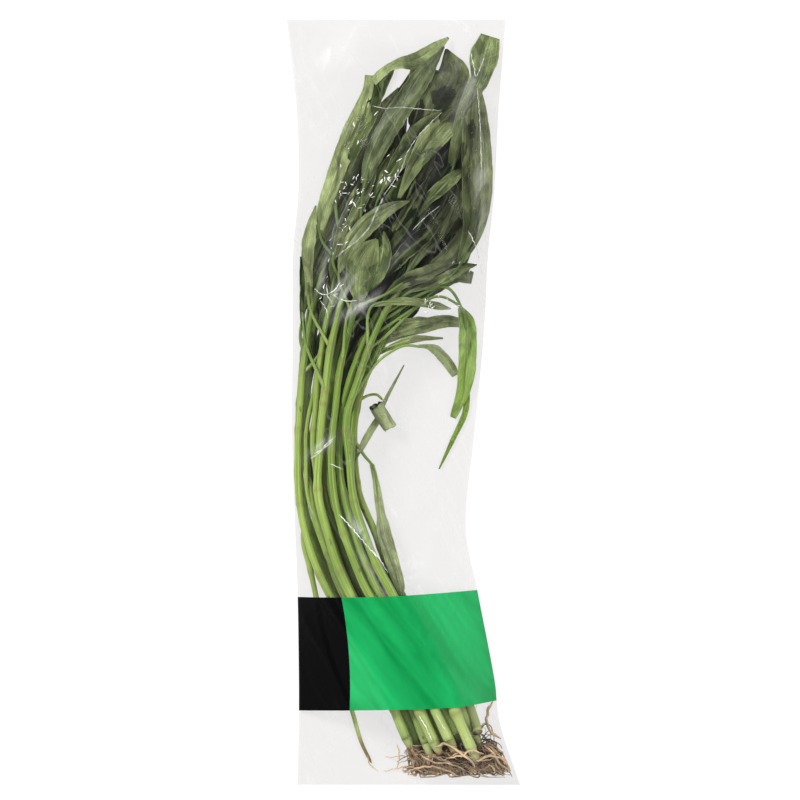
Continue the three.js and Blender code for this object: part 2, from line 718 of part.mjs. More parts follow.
// One ring of film at a station: the points along the bottom from left to right, then along the top and back
function filmRing(pile, k) {
  const y = filmStations[k];
  const left = sleeveLeft(y);
  const right = sleeveRight(y);
  const lowY = filmStations[Math.max(0, k - 1)];
  const highY = filmStations[Math.min(filmStations.length - 1, k + 1)];
  const seam = y < filmStations[0] + sealWidth + 0.1;
  const mouth = clamp((y - mouthFromY) / (filmStations.at(-1) - mouthFromY), 0, 1) * mouthHeight;
  const fold = seam ? filmThickness : foldHeight;
  const arch = (x) => 1 - ((2 * x - left - right) / (right - left)) ** 2;
  const clear = (x) => filmThickness + (seam ? 0.1 : 1 + mouth * arch(x));
  const tops = seam ? [] : columnTops(pile, lowY, highY).map(([x, z]) => [x, z + gap]);
  const { line, heightAt } = stretchedLine([[left + foldInset, fold], ...tops, [right - foldInset, fold]]);
  const xs = filmPlaces.map((place) => mix(left + foldInset, right - foldInset, (1 + place) / 2));
  // next to each fold the film bends where it first touches something
  if (line.length > 2) {
    xs[1] = Math.max(xs[1], line.at(-2)[0]);
    xs[filmSpans - 1] = Math.min(xs[filmSpans - 1], line[1][0]);
  }
  const wants = xs.slice(1).map((x, i) =>
    Array.from({ length: 15 }, (_, n) => [(n + 0.5) / 15, heightAt(mix(xs[i], x, (n + 0.5) / 15))]),
  );
  const z = xs.map((x, i) =>
    Math.max(clear(x), ...[...(wants[i - 1] || []), ...(wants[i] || [])].map(([, h]) => h)),
  );
  z[0] = z[filmSpans] = fold;
  const last = filmSpans - 1;
  for (const [t, h] of wants[0]) z[1] = Math.max(z[1], (h - fold * (1 - t)) / t);
  for (const [t, h] of wants[last]) z[last] = Math.max(z[last], (h - fold * t) / (1 - t));
  lower(z, wants, xs.map(clear), 1000, [0, filmSpans]);
  const inner = xs.map((x, i) => [x, z[i]]);
  return { y, left, right, inner, fold };
}

function sleeveSolid(pile) {
  const rings = filmStations.map((_, k) => filmRing(pile, k));
  const outside = rings.map(({ y, left, right, inner, fold }, k) => {
    const before = rings[Math.max(0, k - 1)];
    const after = rings[Math.min(rings.length - 1, k + 1)];
    const top = inner.slice(1, -1).map(([x, z], n) => {
      const i = n + 1;
      const across = (inner[i - 1][1] - inner[i + 1][1]) / (inner[i - 1][0] - inner[i + 1][0]);
      const shift = (after.inner[i][0] - before.inner[i][0]) / (after.y - before.y);
      const along = (after.inner[i][1] - before.inner[i][1]) / (after.y - before.y) - across * shift;
      return [x, y, z + filmThickness * Math.min(6, Math.hypot(1, across, along))];
    });
    return [
      [left, y, fold],
      [left + bottomRun, y, 0],
      [right - bottomRun, y, 0],
      [right, y, fold],
      ...top,
    ];
  });
  const inside = rings.slice(1).map(({ y, left, right, inner, fold }) => [
    [left + foldInset, y, fold],
    [left + bottomRun + 0.2, y, filmThickness],
    [right - bottomRun - 0.2, y, filmThickness],
    ...inner.slice(0, -1).map(([x, z]) => [x, y, z]),
  ]);
  // the space inside runs on through the mouth
  inside.push(inside.at(-1).map(([x, y, z]) => [x, y + 5, z]));
  return solidOf(loft(outside)).subtract(solidOf(loft(inside)));
}

const pile = new Pile();
let index = 0;
rows.forEach((count, row) => {
  const slots = Array.from({ length: count }, (_, k) => k);
  for (const slot of [...slots.filter((k) => k % 2 === 0), ...slots.filter((k) => k % 2)])
    buildPlant(planPlant(index++, row, slot), pile);
});
addMesh("sleeve", sleeveSolid(pile), filmMaterial);

export default group;
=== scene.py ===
# A bunch of water spinach with its roots in a clear printed sleeve, lying on its back, seen from above.
# Lengths are in millimetres until a mesh is made. +Y runs from the roots to the leaf tips.
import bpy
import math
import numpy as np
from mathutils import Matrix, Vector


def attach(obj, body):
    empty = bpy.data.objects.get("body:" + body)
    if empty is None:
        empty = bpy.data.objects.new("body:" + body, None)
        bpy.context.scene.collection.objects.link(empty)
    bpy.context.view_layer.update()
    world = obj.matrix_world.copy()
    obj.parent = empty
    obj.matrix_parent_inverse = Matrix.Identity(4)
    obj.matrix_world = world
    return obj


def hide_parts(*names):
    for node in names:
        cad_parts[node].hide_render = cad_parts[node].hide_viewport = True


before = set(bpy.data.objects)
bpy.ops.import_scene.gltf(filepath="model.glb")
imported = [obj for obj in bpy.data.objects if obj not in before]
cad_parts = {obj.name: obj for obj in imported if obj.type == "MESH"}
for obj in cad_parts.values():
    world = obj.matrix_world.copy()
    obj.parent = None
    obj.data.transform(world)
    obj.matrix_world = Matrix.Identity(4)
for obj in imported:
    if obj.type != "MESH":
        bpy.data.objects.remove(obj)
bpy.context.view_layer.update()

bunch = {
    "seed": 11,
    "rows": (5, 4, 5, 3),  # plants side by side, from the lowest row up
    "rowShifts": (0, 0, 0, 0.25),
    "pitch": 0.5,
    "wander": 0.21,
    "size": (0.9, 1.04),
    "baseY": (-226, -215),
    "topY": (96, 168),
    "handLaidFrom": 11,
    "laidTops": (66, 88, 78, 86, 84, 82),
    "stemHalves": ((-212, -42, 0, 190), (4.1, 2.7, 2.7, 1.2)),  # half the stem's width at each y
    "station": 32,
    "leafZoneY": -12,
    "leafZoneLength": 110,
    "stemFootY": -214,
    "edgeMargin": 5.4,
    "stemSlack": 2.2,
    "lowestY": -245,
    "highestY": 245,
}
sleeveOutline = [  # y, x of the left fold, x of the right fold
    (-252.4, -70.0, 76.9), (-211.0, -69.0, 63.4), (-184.0, -68.9, 60.3), (-124.0, -69.8, 48.8),
    (-82.0, -71.4, 41.2), (-18.0, -73.4, 47.2), (48.0, -73.0, 53.2), (100.0, -72.6, 56.0),
    (140.0, -69.2, 60.0), (190.0, -70.2, 62.6), (252.4, -76.9, 67.5),
]
bunchLine = [  # y, x of the bunch's middle, half its width
    (-225, 27, 27), (-201, 17, 25), (-164, -2, 24), (-128, -24, 23), (-91, -40, 22), (-64, -48, 20.5),
    (-31, -50, 20), (2, -48, 21), (28, -42, 26), (68, -29, 34), (100, -13, 42), (133, 1, 44),
    (166, 10, 40), (199, 17, 34), (232, 24, 30),
]


def mix(a, b, t):
    return a + (b - a) * t


def clamp(value, low, high):
    return min(high, max(low, value))


def rise(value, low, high):  # 0 at low, 1 at high, straight between
    return np.clip((value - low) / (high - low), 0, 1)


def fade(s, over, least=0):  # rises from least at both ends of s to 1
    return np.clip(np.minimum(s, s[-1] - s) / over + least, 0, 1)


def makeDraw(seed):  # seeded draws, the same on every run
    state = [seed]

    def draw(low, high):
        state[0] = (state[0] * 1664525 + 1013904223) % 2**32
        return mix(low, high, state[0] / 2**32)

    for _ in range(4):
        draw(0, 1)
    return draw


# A cubic from a to b whose slopes there are slopeA and slopeB, where t runs from 0 to 1
def cubic(a, b, slopeA, slopeB, t):
    return (a * (2 * t**3 - 3 * t**2 + 1) + slopeA * (t**3 - 2 * t**2 + t)
            + b * (3 * t**2 - 2 * t**3) + slopeB * (t**3 - t**2))


def smoothRow(rows, y, column):  # a smooth curve through rows of (y, value...), read at y
    def slope(k):
        a, b = rows[max(0, k - 1)], rows[min(len(rows) - 1, k + 1)]
        return (b[column] - a[column]) / (b[0] - a[0])

    i = sum(y > row[0] for row in rows[1:-1])
    a, b = rows[i], rows[i + 1]
    span = b[0] - a[0]
    return cubic(a[column], b[column], slope(i) * span, slope(i + 1) * span, clamp((y - a[0]) / span, 0, 1))


def sleeveLeft(y):
    return smoothRow(sleeveOutline, y, 1)


def sleeveRight(y):
    return smoothRow(sleeveOutline, y, 2)


def bunchX(y, place, margin):  # the x of a place across the bunch, from -1 at its left side to 1
    return smoothRow(bunchLine, y, 1) + place * (smoothRow(bunchLine, y, 2) - margin)


def keepInside(x, y, half):  # at least a margin and half a width away from the sleeve's folds
    y = clamp(y, bunch["lowestY"] + half, bunch["highestY"] - half)
    margin = bunch["edgeMargin"] + half
    return clamp(x, sleeveLeft(y) + margin, sleeveRight(y) - margin), y


def rowsOf(route, *keys):  # the named values of each station
    return [[s.get(key, 0) for key in keys] for s in route]


def lengthsAlong(points):  # the distance along a line, from its first point to each
    return np.concatenate([[0], np.cumsum(np.linalg.norm(np.diff(points, axis=0), axis=1))])


# The flat layout of the plants: the same routes as the solids. A station is a dictionary of x, y and half
# width.
def addSides(route):  # the sideways direction of each station, square to the route
    for a, s, b in zip(route[:1] + route, route, route[1:] + route[-1:]):
        length = math.hypot(b["x"] - a["x"], b["y"] - a["y"]) or 1
        s.update(sideX=(b["y"] - a["y"]) / length, sideY=(a["x"] - b["x"]) / length)
    return route


# A plant's seeded measures, and its places across the bunch at its roots and at its top
def planPlant(index, row, slot):
    draw = makeDraw(bunch["seed"] * 1000 + index * 77)
    place = (slot - (bunch["rows"][row] - 1) / 2) * bunch["pitch"]
    plant = {key: draw(*bunch[key]) for key in ("size", "baseY", "topY")}
    plant["rootPlace"] = place + bunch["rowShifts"][row] + draw(-0.02, 0.02)
    plant["topPlace"] = clamp(place + draw(-0.2, 0.2), -0.97, 0.97)
    plant["stray"] = bunch["wander"] * math.sin(3.7 * index + 1.1 * row)
    if index >= bunch["handLaidFrom"]:
        plant["topY"] = bunch["laidTops"][index - bunch["handLaidFrom"]]
    return {**plant, "index": index, "row": row, "draw": draw, "number": f"{index + 1:02d}"}


# Stations at even steps of y. The place across the bunch stays that of the roots up to the leaf zone and then
# goes over to that of the top; a half sine of stray and small kinks are added.
def stemRoute(plant):
    steps = int((plant["topY"] - plant["baseY"]) / bunch["station"] + 0.5)
    route = []
    for i in range(steps + 1):
        y = mix(plant["baseY"], plant["topY"], i / steps)
        spread = rise(y, bunch["leafZoneY"], bunch["leafZoneY"] + bunch["leafZoneLength"])
        bare = rise(y, bunch["stemFootY"], bunch["leafZoneY"])
        place = mix(plant["rootPlace"], plant["topPlace"], spread * spread * (3 - 2 * spread))
        place += plant["stray"] * math.sin(bare * math.pi)
        kink = plant["draw"](-0.3, 0.3) + spread * plant["draw"](-1.5, 1.5)
        radius = np.interp(y, *bunch["stemHalves"])
        half = radius * plant["size"]
        x, y = keepInside(bunchX(y, place, radius) + kink, y, half - bunch["stemSlack"])
        route.append({"x": x, "y": y, "half": half})
    return route


def crownRoute(stem):  # straight on below the stem's foot
    a, b = stem[0], stem[1]
    length = math.hypot(b["x"] - a["x"], b["y"] - a["y"])
    route = []
    for down, half in ((9, 0.42), (4.5, 0.8), (0.35, 0.96)):  # below the stem's foot, share of its half width
        x, y = mix(a["x"], b["x"], -down / length), mix(a["y"], b["y"], -down / length)
        route.append({"x": x, "y": y, "half": a["half"] * half})
    return route


def pointOn(route, y):  # the place on a route at y, and which way it runs there
    i = sum(y > s["y"] for s in route[1:-1])
    a, b = route[i], route[i + 1]
    t = clamp((y - a["y"]) / (b["y"] - a["y"]), 0, 1)
    at = {key: mix(a[key], b[key], t) for key in ("x", "y", "z", "half")}
    return {**at, "heading": math.atan2(b["x"] - a["x"], b["y"] - a["y"])}


petiole = {"half": 0.9, "thick": 1.5, "foot": 5}
bladeThick = 0.7
leafPlan = {
    "stalk": (16, 32),
    "blade": (84, 118),
    "half": (5.6, 8.4),
    "splay": (32, 48),
    "roll": (-0.8, 0.8),
    "reach": ((0.6, 1), (0.2, 0.4)),  # for the lowest leaf and for the highest
    "shrink": (0.7, 0.72, 0.8),  # of the highest leaf's stalk, blade and width
    "parts": ((0.1, 0.8), (0.36, 1), (0.7, 0.68), (1, 0.07)),  # share of the length, share of the half width
    "bend": 24,  # the length over which the splay gives way
    "leastAhead": 25,
    "widest": 0.98,  # the place of a tip
}


# A leaf's heading goes from the stem's heading and a splay to the aim at its tip, which is a place across the
# bunch: the splay has the share exp(-s / bend)
def leafRoute(plant, stem, y, side, share):
    draw, look, start = plant["draw"], leafPlan, pointOn(stem, y)
    shrinks = [mix(1, shrink, share) for shrink in look["shrink"]]
    stalk = draw(*look["stalk"]) * shrinks[0]
    blade = min(draw(*look["blade"]) * shrinks[1], (bunch["highestY"] - y - stalk) * 1.02)
    halfWidth = draw(*look["half"]) * shrinks[2]
    splay, roll = side * math.radians(draw(*look["splay"])), draw(*look["roll"])
    low, high = (draw(*reach) for reach in look["reach"])
    place = plant["topPlace"] + side * mix(low, high, share)
    if abs(place) > look["widest"]:
        place = math.copysign(draw(0.6, look["widest"]), place)
    tipY = y + stalk + blade
    tipX = bunchX(tipY, place, halfWidth)
    stretches = [(s, petiole["half"], petiole["thick"]) for s in (0, petiole["foot"], stalk)]
    for at, width in look["parts"]:
        stretches.append((stalk + at * blade, max(0.5, width * halfWidth), bladeThick))
    x, y, before, route = start["x"], start["y"], 0, []
    for s, half, thick in stretches:
        aim = math.atan2(tipX - x, max(look["leastAhead"], tipY - y))
        heading = mix(aim, start["heading"] + splay, math.exp(-s / look["bend"]))
        x, y = x + math.sin(heading) * (s - before), y + math.cos(heading) * (s - before)
        if s > 0:
            x, y = keepInside(x, y, half)
        standing = roll if thick == bladeThick else 0
        route.append({"x": x, "y": y, "half": half, "thick": thick,
                      "upLeft": max(0, -standing), "upRight": max(0, standing)})
        before = s
    return addSides(route)


# Leaves placed one by one: the plant, the y on its stem where the leaf starts, then (x, y, half width)
laidLeaves = [
    (11, -72, (-32.5, -54, 0.9), (-32, -40, 0.9), (-27.5, -30, 1.7), (-19, -15, 2.6), (-13, -7, 6.2),
     (-8, 3, 2.2), (0.5, 24.6, 0.5)),
    (11, -24, (-25, -36, 0.9), (-20.7, -41, 0.9), (-16.7, -61.8, 2.9), (-14, -79, 4), (-8, -101, 4.9),
     (-0.9, -127.8, 0.9)),
    (11, 4, (-16, 36, 0.9), (-4, 46, 4), (16, 53, 5), (36, 54, 3.6), (46, 50.5, 2.2)),
    (11, 8, (-26, 43, 0.9), (-10, 46.5, 4.6), (8, 50.5, 5.2), (26, 54, 0.6)),
    (11, 0, (-18, 31, 0.9), (5, 41, 2.4), (26, 42, 0.6)),
    (12, 66, (-34, 100, 0.9), (-30, 112, 4), (-18, 140, 5.5), (-6, 166, 0.6)),
    (12, 60, (-30, 84, 0.9), (-22, 100, 5), (-12, 120, 6.4), (-4, 138, 4.4), (1, 150, 0.6)),
    (12, 96, (-22, 128, 0.9), (-4, 158, 3.4), (10, 184, 5.6), (24, 216, 8), (32, 238, 0.7)),
    (12, 40, (-46, 76, 0.9), (-44, 90, 4.6), (-38, 118, 6), (-30, 148, 0.6)),
    (13, -6, (-11, 31, 0.9), (1, 37, 0.9), (13, 36, 1.4), (26, 30, 2.6), (34, 17, 1)),
    (13, 40, (12, 66, 0.9), (23, 77, 4.6), (35, 84, 5.6), (46, 82, 4)),
    (13, 62, (38, 86, 0.9), (53, 120, 3.6), (55, 150, 4.8), (55.5, 176, 4.4), (56, 211, 0.6)),
    (13, 50, (30, 74, 0.9), (42, 50, 0.9), (42.5, 16, 1.2), (41, -6, 2), (33, -24, 1.6), (23.6, -44, 0.5)),
    (13, 84, (22, 126, 0.9), (27, 140, 5.6), (34, 162, 8), (40, 184, 0.6)),
    (13, 76, (10, 92, 0.9), (24, 112, 5), (34, 134, 6.4), (40, 152, 4), (43, 166, 0.6)),
    (13, 56, (14, 80, 0.9), (28, 90, 4.6), (40, 104, 5.4), (47, 122, 3.4), (50, 138, 0.6)),
    (14, 88, (-44, 130, 0.9), (-33, 170, 0.9), (-22, 208, 2.2), (-8, 218, 4.2), (10, 226.5, 4.6),
     (22, 234.5, 4.2), (30, 240.5, 0.8)),
    (14, 84, (-54, 108, 0.9), (-55, 120, 4.6), (-47, 148, 7.2), (-36, 180, 7.8), (-28, 202, 6.8),
     (-25, 213, 6)),
    (14, 74, (-46, 92, 0.9), (-40, 108, 4.6), (-30, 130, 6), (-22, 148, 4), (-17, 160, 0.6)),
    (14, 34, (-61, 62, 0.9), (-62.5, 79, 3.2), (-61.5, 106, 4.2), (-57, 128, 0.6)),
    (14, 8, (-64, 40, 0.9), (-66, 59, 1.6), (-66.5, 77, 1.8), (-67, 95, 0.5)),
    (15, 84, (2, 130, 0.9), (8, 146, 6), (20, 170, 9.5), (33, 187, 6.4), (42, 197, 0.6)),
    (15, 112, (24, 122, 0.9), (34, 160, 3), (40, 186, 5), (47, 212, 7), (54, 232, 6.4), (60, 241, 3)),
    (15, 74, (4, 100, 0.9), (14, 122, 5), (25, 146, 6.6), (34, 166, 5), (40, 182, 0.6)),
    (15, 70, (2, 84, 0.9), (10, 96, 3.6), (22, 112, 5), (30, 126, 3.4), (36, 138, 0.6)),
    (15, 66, (6, 76, 0.9), (18, 86, 4), (30, 97, 5), (38, 108, 3.6), (44, 122, 0.6)),
    (15, 62, (4, 72, 0.9), (16, 78, 4.2), (29, 84, 5), (40, 88, 3), (48, 90, 0.6)),
    (15, 58, (36, 88, 0.9), (46, 112, 5.6), (47, 140, 7), (46, 174, 6), (49, 208, 0.6)),
    (15, 36, (28, 68, 0.9), (39, 60, 1.2), (41, 47, 4.2), (41.4, 27, 6.6), (38.7, 9.4, 5),
     (32.8, -10.4, 0.9)),
    (15, 30, (-20, 63, 0.9), (1, 66, 2.6), (21, 63, 2.6), (31, 61, 0.5)),
    (16, 96, (-26, 138, 0.9), (-22, 154, 5), (-8, 182, 7), (10, 209, 6.4), (27, 234, 0.6)),
    (16, 74, (-14, 138, 0.9), (-5, 154, 5), (8, 174, 6), (25, 191, 0.6)),
    (16, 72, (-16, 90, 0.9), (-8, 104, 4), (2, 120, 5.4), (10, 134, 4), (16, 146, 0.6)),
    (16, 66, (-14, 80, 0.9), (-4, 92, 4.4), (8, 104, 5.4), (18, 112, 3.6), (26, 120, 0.6)),
    (16, 62, (-12, 70, 0.9), (0, 78, 4.2), (12, 83, 5), (24, 88, 3.4), (34, 91, 0.6)),
    (16, 56, (-42, 84, 0.9), (-38, 95, 4.2), (-23, 116, 6), (-7, 127, 3.6), (4, 131, 0.6)),
    (16, 26, (-36, 58, 0.9), (-32, 68, 6.4), (-27, 82, 11), (-22, 95, 8), (-18, 105, 0.8)),
]
sideShoot = {
    "plant": 9,
    "fromY": -76,
    "half": 1.9,
    "line": ((-64.5, -92, 1.9), (-61, -108, 1.9), (-57.6, -128, 1.8), (-49, -165, 1.7), (-34, -203, 1.5),
             (-27, -226, 1.2), (-21, -238, 0.8)),
}


def laidRoute(stem, y, line):  # from the stem over the petiole's foot to the listed points
    start = pointOn(stem, y)
    foot = petiole["foot"] / math.hypot(line[0][0] - start["x"], line[0][1] - start["y"])
    footAt = (mix(start["x"], line[0][0], foot), mix(start["y"], line[0][1], foot), petiole["half"])
    route = [{"x": start["x"], "y": start["y"], "half": petiole["half"], "thick": petiole["thick"]}]
    for x, y, half in (footAt, *line):
        isBlade = route[-1]["thick"] == bladeThick or half > 1.3
        x, y = keepInside(x, y, half)
        route.append({"x": x, "y": y, "half": half, "thick": bladeThick if isBlade else petiole["thick"]})
    return addSides(route)


# The listed leaves, or five or six up the stem, to the left and to the right in turn
def leavesOf(plant, stem):
    index, draw = plant["index"], plant["draw"]
    if index >= bunch["handLaidFrom"]:
        return [laidRoute(stem, y, line) for at, y, *line in laidLeaves if at == index]
    count = 5 + int(draw(0, 1.4) + 0.5)
    lowest = draw(8, 34)
    leaves = []
    for k in range(count):
        share = k / (count - 1)
        y = clamp(mix(lowest, plant["topY"] - 3, share) + draw(-4, 4), lowest, plant["topY"] - 2)
        leaves.append(leafRoute(plant, stem, y, 1 if (k + index) % 2 else -1, share))
    return leaves


mainRoots = {
    "perPlant": 4,
    "starts": ((0.75, -0.35), (0.35, 0.35)),  # in turn: the share along the crown, and up, in half widths
    "half": 0.8,
    "endHalf": 0.5,
    "fan": 1,
    "length": (26, 46),
    "steps": (0.34, 0.58, 0.8, 1),
    "margin": 8,
    "rowRise": 3.5,  # each row's roots end this much further up the sleeve
}


# A root leaves the crown in its direction, then fans out by its number and curls by a seeded turn
def rootRoute(plant, crown, index):
    draw, look, end, middle, top = plant["draw"], mainRoots, *crown
    along, up = look["starts"][index % 2]
    aside = ((2 * index + 1) / look["perPlant"] - 1) * -0.4 * end["half"]
    start = {
        "x": mix(end["x"], middle["x"], along) + aside * end["sideX"],
        "y": mix(end["y"], middle["y"], along) + aside * end["sideY"],
        "z": mix(end["z"], middle["z"], along) + up * end["half"],
        "half": look["half"],
    }
    down = math.atan2(end["x"] - top["x"], end["y"] - top["y"])
    fan = mix(-look["fan"], look["fan"], (index + 0.5) / look["perPlant"]) + draw(-0.2, 0.2)
    turn, length = draw(-0.9, 0.9), draw(*look["length"])
    floor = bunch["lowestY"] + plant["row"] * look["rowRise"] + draw(0, 9)
    route, before, x, y = [start], 0, start["x"], start["y"]
    for share in look["steps"]:
        heading = down + (fan if share > 0.4 else fan * 0.1) + turn * share
        x += math.sin(heading) * length * (share - before)
        y += math.cos(heading) * length * (share - before)
        route.append({"x": x, "y": y, "half": mix(look["half"], look["endHalf"], share)})
        before = share
    # draw it in sideways and upwards until it ends inside the sleeve and above the floor of its row
    lowest, widest = min(s["y"] for s in route), max(s["x"] for s in route) - start["x"]
    over = max(s["x"] + look["margin"] - sleeveRight(max(s["y"], floor)) for s in route)
    squeezeY = (floor - start["y"]) / (lowest - start["y"]) if lowest < floor else 1
    squeezeX = max(0.1, (widest - over) / widest) if over > 0 else 1
    for s in route[1:]:
        s["x"], s["y"] = mix(start["x"], s["x"], squeezeX), mix(start["y"], s["y"], squeezeY)
    return addSides(route)


# Heights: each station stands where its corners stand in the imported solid
def readPoints(node):  # in mm
    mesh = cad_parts[node].data
    points = np.empty(len(mesh.vertices) * 3, np.float32)
    mesh.vertices.foreach_get("co", points)
    return points.reshape(-1, 3).astype(float) * 1000


# A station's corners: how far aside, the share from the lowest point there to the highest, and a shift up
def tubeCorners(s):
    return [(aside * s["half"], 0.5, 0) for aside in (0, math.sqrt(0.75), -math.sqrt(0.75))]


def bladeCorners(s):
    middle = s["thick"] / 2
    return [(s["half"], 0, middle - s.get("upRight", 0)), (-s["half"], 0, middle - s.get("upLeft", 0))]


def rootCorners(s):
    return [(0, 1, -s["half"])]


# The solid's corners are found by their x and y. A station whose corners lie inside another solid takes a
# height between its neighbours'.
def readHeights(route, points, cornersOf, first=None, counts=(2,)):
    heights = []
    for s in route:
        found = [] if heights or first is None else [first]
        for aside, share, shift in cornersOf(s):
            x, y = s["x"] + s["sideX"] * aside, s["y"] + s["sideY"] * aside
            near = (np.abs(points[:, 0] - x) < 0.004) & (np.abs(points[:, 1] - y) < 0.004)
            z = np.unique(np.round(points[near, 2], 3))
            if len(z) in counts:
                found.append(mix(z[0], z[-1], share) + shift)
        heights.append(found[0] if found else np.nan)
    heights, along = np.array(heights), lengthsAlong(rowsOf(route, "x", "y"))
    known = ~np.isnan(heights)
    for s, z in zip(route, np.interp(along, along[known], heights[known])):
        s["z"] = float(z)


# A plant with its routes and their heights. The draws are made in the order of the solids.
def layPlant(index, row, slot):
    plant = planPlant(index, row, slot)
    green = stemRoute(plant)
    whole = addSides(crownRoute(green) + green)
    crown, stem, shoots = whole[:3], whole[3:], []
    stemPoints, rootPoints = (readPoints(kind + plant["number"]) for kind in ("leafy_stem_", "roots_"))
    readHeights(crown, rootPoints, tubeCorners)
    readHeights(stem, stemPoints, tubeCorners)
    if index == sideShoot["plant"]:
        start = pointOn(stem, sideShoot["fromY"])
        line = ((start["x"], start["y"], sideShoot["half"]), *sideShoot["line"])
        shoots = [addSides([{"x": x, "y": y, "half": half} for x, y, half in line])]
        readHeights(shoots[0], stemPoints, tubeCorners, start["z"])
    leaves = leavesOf(plant, stem)
    for leaf in leaves:
        start = pointOn(stem, leaf[0]["y"])
        readHeights(leaf, stemPoints, bladeCorners, start["z"] + 0.2 * start["half"])
    roots = [rootRoute(plant, crown, k) for k in range(mainRoots["perPlant"])]
    for root in roots:
        readHeights(root, rootPoints, rootCorners, root[0]["z"], range(1, 9))
    return {**plant, "crown": crown, "stem": stem, "shoots": shoots, "leaves": leaves, "roots": roots}


plants = []
for row, count in enumerate(bunch["rows"]):
    for slot in [*range(0, count, 2), *range(1, count, 2)]:
        plants.append(layPlant(len(plants), row, slot))
print(f"laid out {len(plants)} plants and {sum(len(plant['leaves']) for plant in plants)} leaves")


# A smooth curve through rows of (x, y, other...), a row every step: x and y have three-point slopes, and the
# others never overshoot, with the harmonic mean of the slopes, or 0 where the slope turns. The last column is
# the distance along the line.
def fineLine(rows, step):
    rows = np.asarray(rows, float)
    steps = np.maximum(np.hypot(*np.diff(rows[:, :2], axis=0).T), 0.01)[:, None]
    along = np.concatenate([[0], np.cumsum(steps)])
    slopes = np.diff(rows, axis=0) / steps
    a, b, before, after = slopes[:-1], slopes[1:], steps[:-1], steps[1:]
    inner = np.where(a * b > 0, 2 * a * b / (a + b + 1e-12), 0)
    inner[:, :2] = ((a * after + b * before) / (before + after))[:, :2]
    tangents = np.vstack([slopes[:1], inner, slopes[-1:]])
    s = np.linspace(0, along[-1], max(3, int(math.ceil(along[-1] / step)) + 1))
    i = np.clip(np.searchsorted(along, s, side="right") - 1, 0, len(steps) - 1)
    t = (s - along[i])[:, None] / steps[i]
    fine = cubic(rows[i], rows[i + 1], tangents[i] * steps[i], tangents[i + 1] * steps[i], t)
    return np.column_stack([fine, s])


# Unit vectors to the side of a line (level) and up, for each of its points
def directions(centre):
    ahead = np.gradient(centre, axis=0)
    ahead /= np.linalg.norm(ahead, axis=1, keepdims=True) + 1e-9
    side = np.column_stack([ahead[:, 1], -ahead[:, 0], np.zeros(len(centre))])
    side /= np.linalg.norm(side, axis=1, keepdims=True) + 1e-9
    return side, np.cross(side, ahead)


def turnsOf(sides):
    return np.arange(sides) * 2 * math.pi / sides


# Quads between neighbouring closed rings and one flat face at each end, all facing out
def loftFaces(rings, sides):
    index = np.arange(rings * sides).reshape(rings, sides)
    beside = np.roll(index, -1, axis=1)
    quads = np.stack([index[:-1], index[1:], beside[1:], beside[:-1]], axis=-1)
    return [quads.reshape(-1, 4), np.stack([index[0], index[-1, ::-1]])]


# One loft of a piece: its grid of points, its lists of faces, the material of each list, and u, v, how far up
# each point faces, and other values, all spread over the grid
def makePart(points, faces, slots, uv, up=1, **values):
    def spread(value):
        return np.broadcast_to(value, points.shape[:2]).reshape(-1)

    return {
        "points": points.reshape(-1, 3),
        "faces": faces,
        "slots": np.broadcast_to(slots, len(faces)),
        "uv": np.column_stack([spread(part) for part in uv]),
        "up": spread(up),
        "values": {key: spread(value) for key, value in values.items()},
    }


# A round skin: centre + radius * (cos a * side + sin a * up), with the up part times squash
def tubePart(centre, radius, sides, slot=0, squash=1, **values):
    side, up = directions(centre)
    turn = turnsOf(sides)
    around = np.cos(turn)[:, None] * side[:, None] + squash * np.sin(turn)[:, None] * up[:, None]
    points = centre[:, None] + radius.reshape(len(centre), -1, 1) * around
    uv = (turn / (2 * math.pi), lengthsAlong(centre)[:, None] / 100)
    values = {key: np.reshape(value, (-1, 1)) for key, value in values.items()}
    return makePart(points, loftFaces(len(centre), sides), slot, uv, np.sin(turn), **values)


def addObject(name, data):
    made = bpy.data.objects.new(name, data)
    bpy.context.scene.collection.objects.link(made)
    return made


def makePiece(name, parts, materials):  # one mesh of all the parts, in metres, with their uv and values
    starts = np.cumsum([0] + [len(part["points"]) for part in parts])
    points = np.concatenate([part["points"] for part in parts]) / 1000
    corners, sizes, slots, uvs = [], [], [], []
    for part, start in zip(parts, starts):
        for faces, slot in zip(part["faces"], part["slots"]):
            corners.append((faces + start).reshape(-1))
            sizes.append(np.full(len(faces), faces.shape[1]))
            slots.append(np.full(len(faces), slot))
            uvs.append(part["uv"][faces.reshape(-1)])
    corners, sizes = np.concatenate(corners), np.concatenate(sizes)
    mesh = bpy.data.meshes.new(name)
    mesh.vertices.add(len(points))
    mesh.vertices.foreach_set("co", points.astype(np.float32).reshape(-1))
    mesh.loops.add(len(corners))
    mesh.loops.foreach_set("vertex_index", corners.astype(np.int32))
    mesh.polygons.add(len(sizes))
    mesh.polygons.foreach_set("loop_start", (np.cumsum(sizes) - sizes).astype(np.int32))
    mesh.polygons.foreach_set("material_index", np.concatenate(slots).astype(np.int32))
    mesh.polygons.foreach_set("use_smooth", np.ones(len(sizes), bool))
    mesh.update(calc_edges=True)
    layer = mesh.uv_layers.new(name="surface")
    layer.data.foreach_set("uv", np.concatenate(uvs).astype(np.float32).reshape(-1))
    for key in dict.fromkeys(key for part in parts for key in part["values"]):
        spread = [part["values"].get(key, np.zeros(len(part["points"]))) for part in parts]
        attribute = mesh.attributes.new(key, "FLOAT", "POINT")
        attribute.data.foreach_set("value", np.concatenate(spread).astype(np.float32))
    mesh.validate()
    for material in materials:
        mesh.materials.append(material)
    return addObject(name, mesh)


def placePiece(name, parts, materials, node):
    piece = makePiece(name, parts, materials)
    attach(piece, "root")
    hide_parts(node)


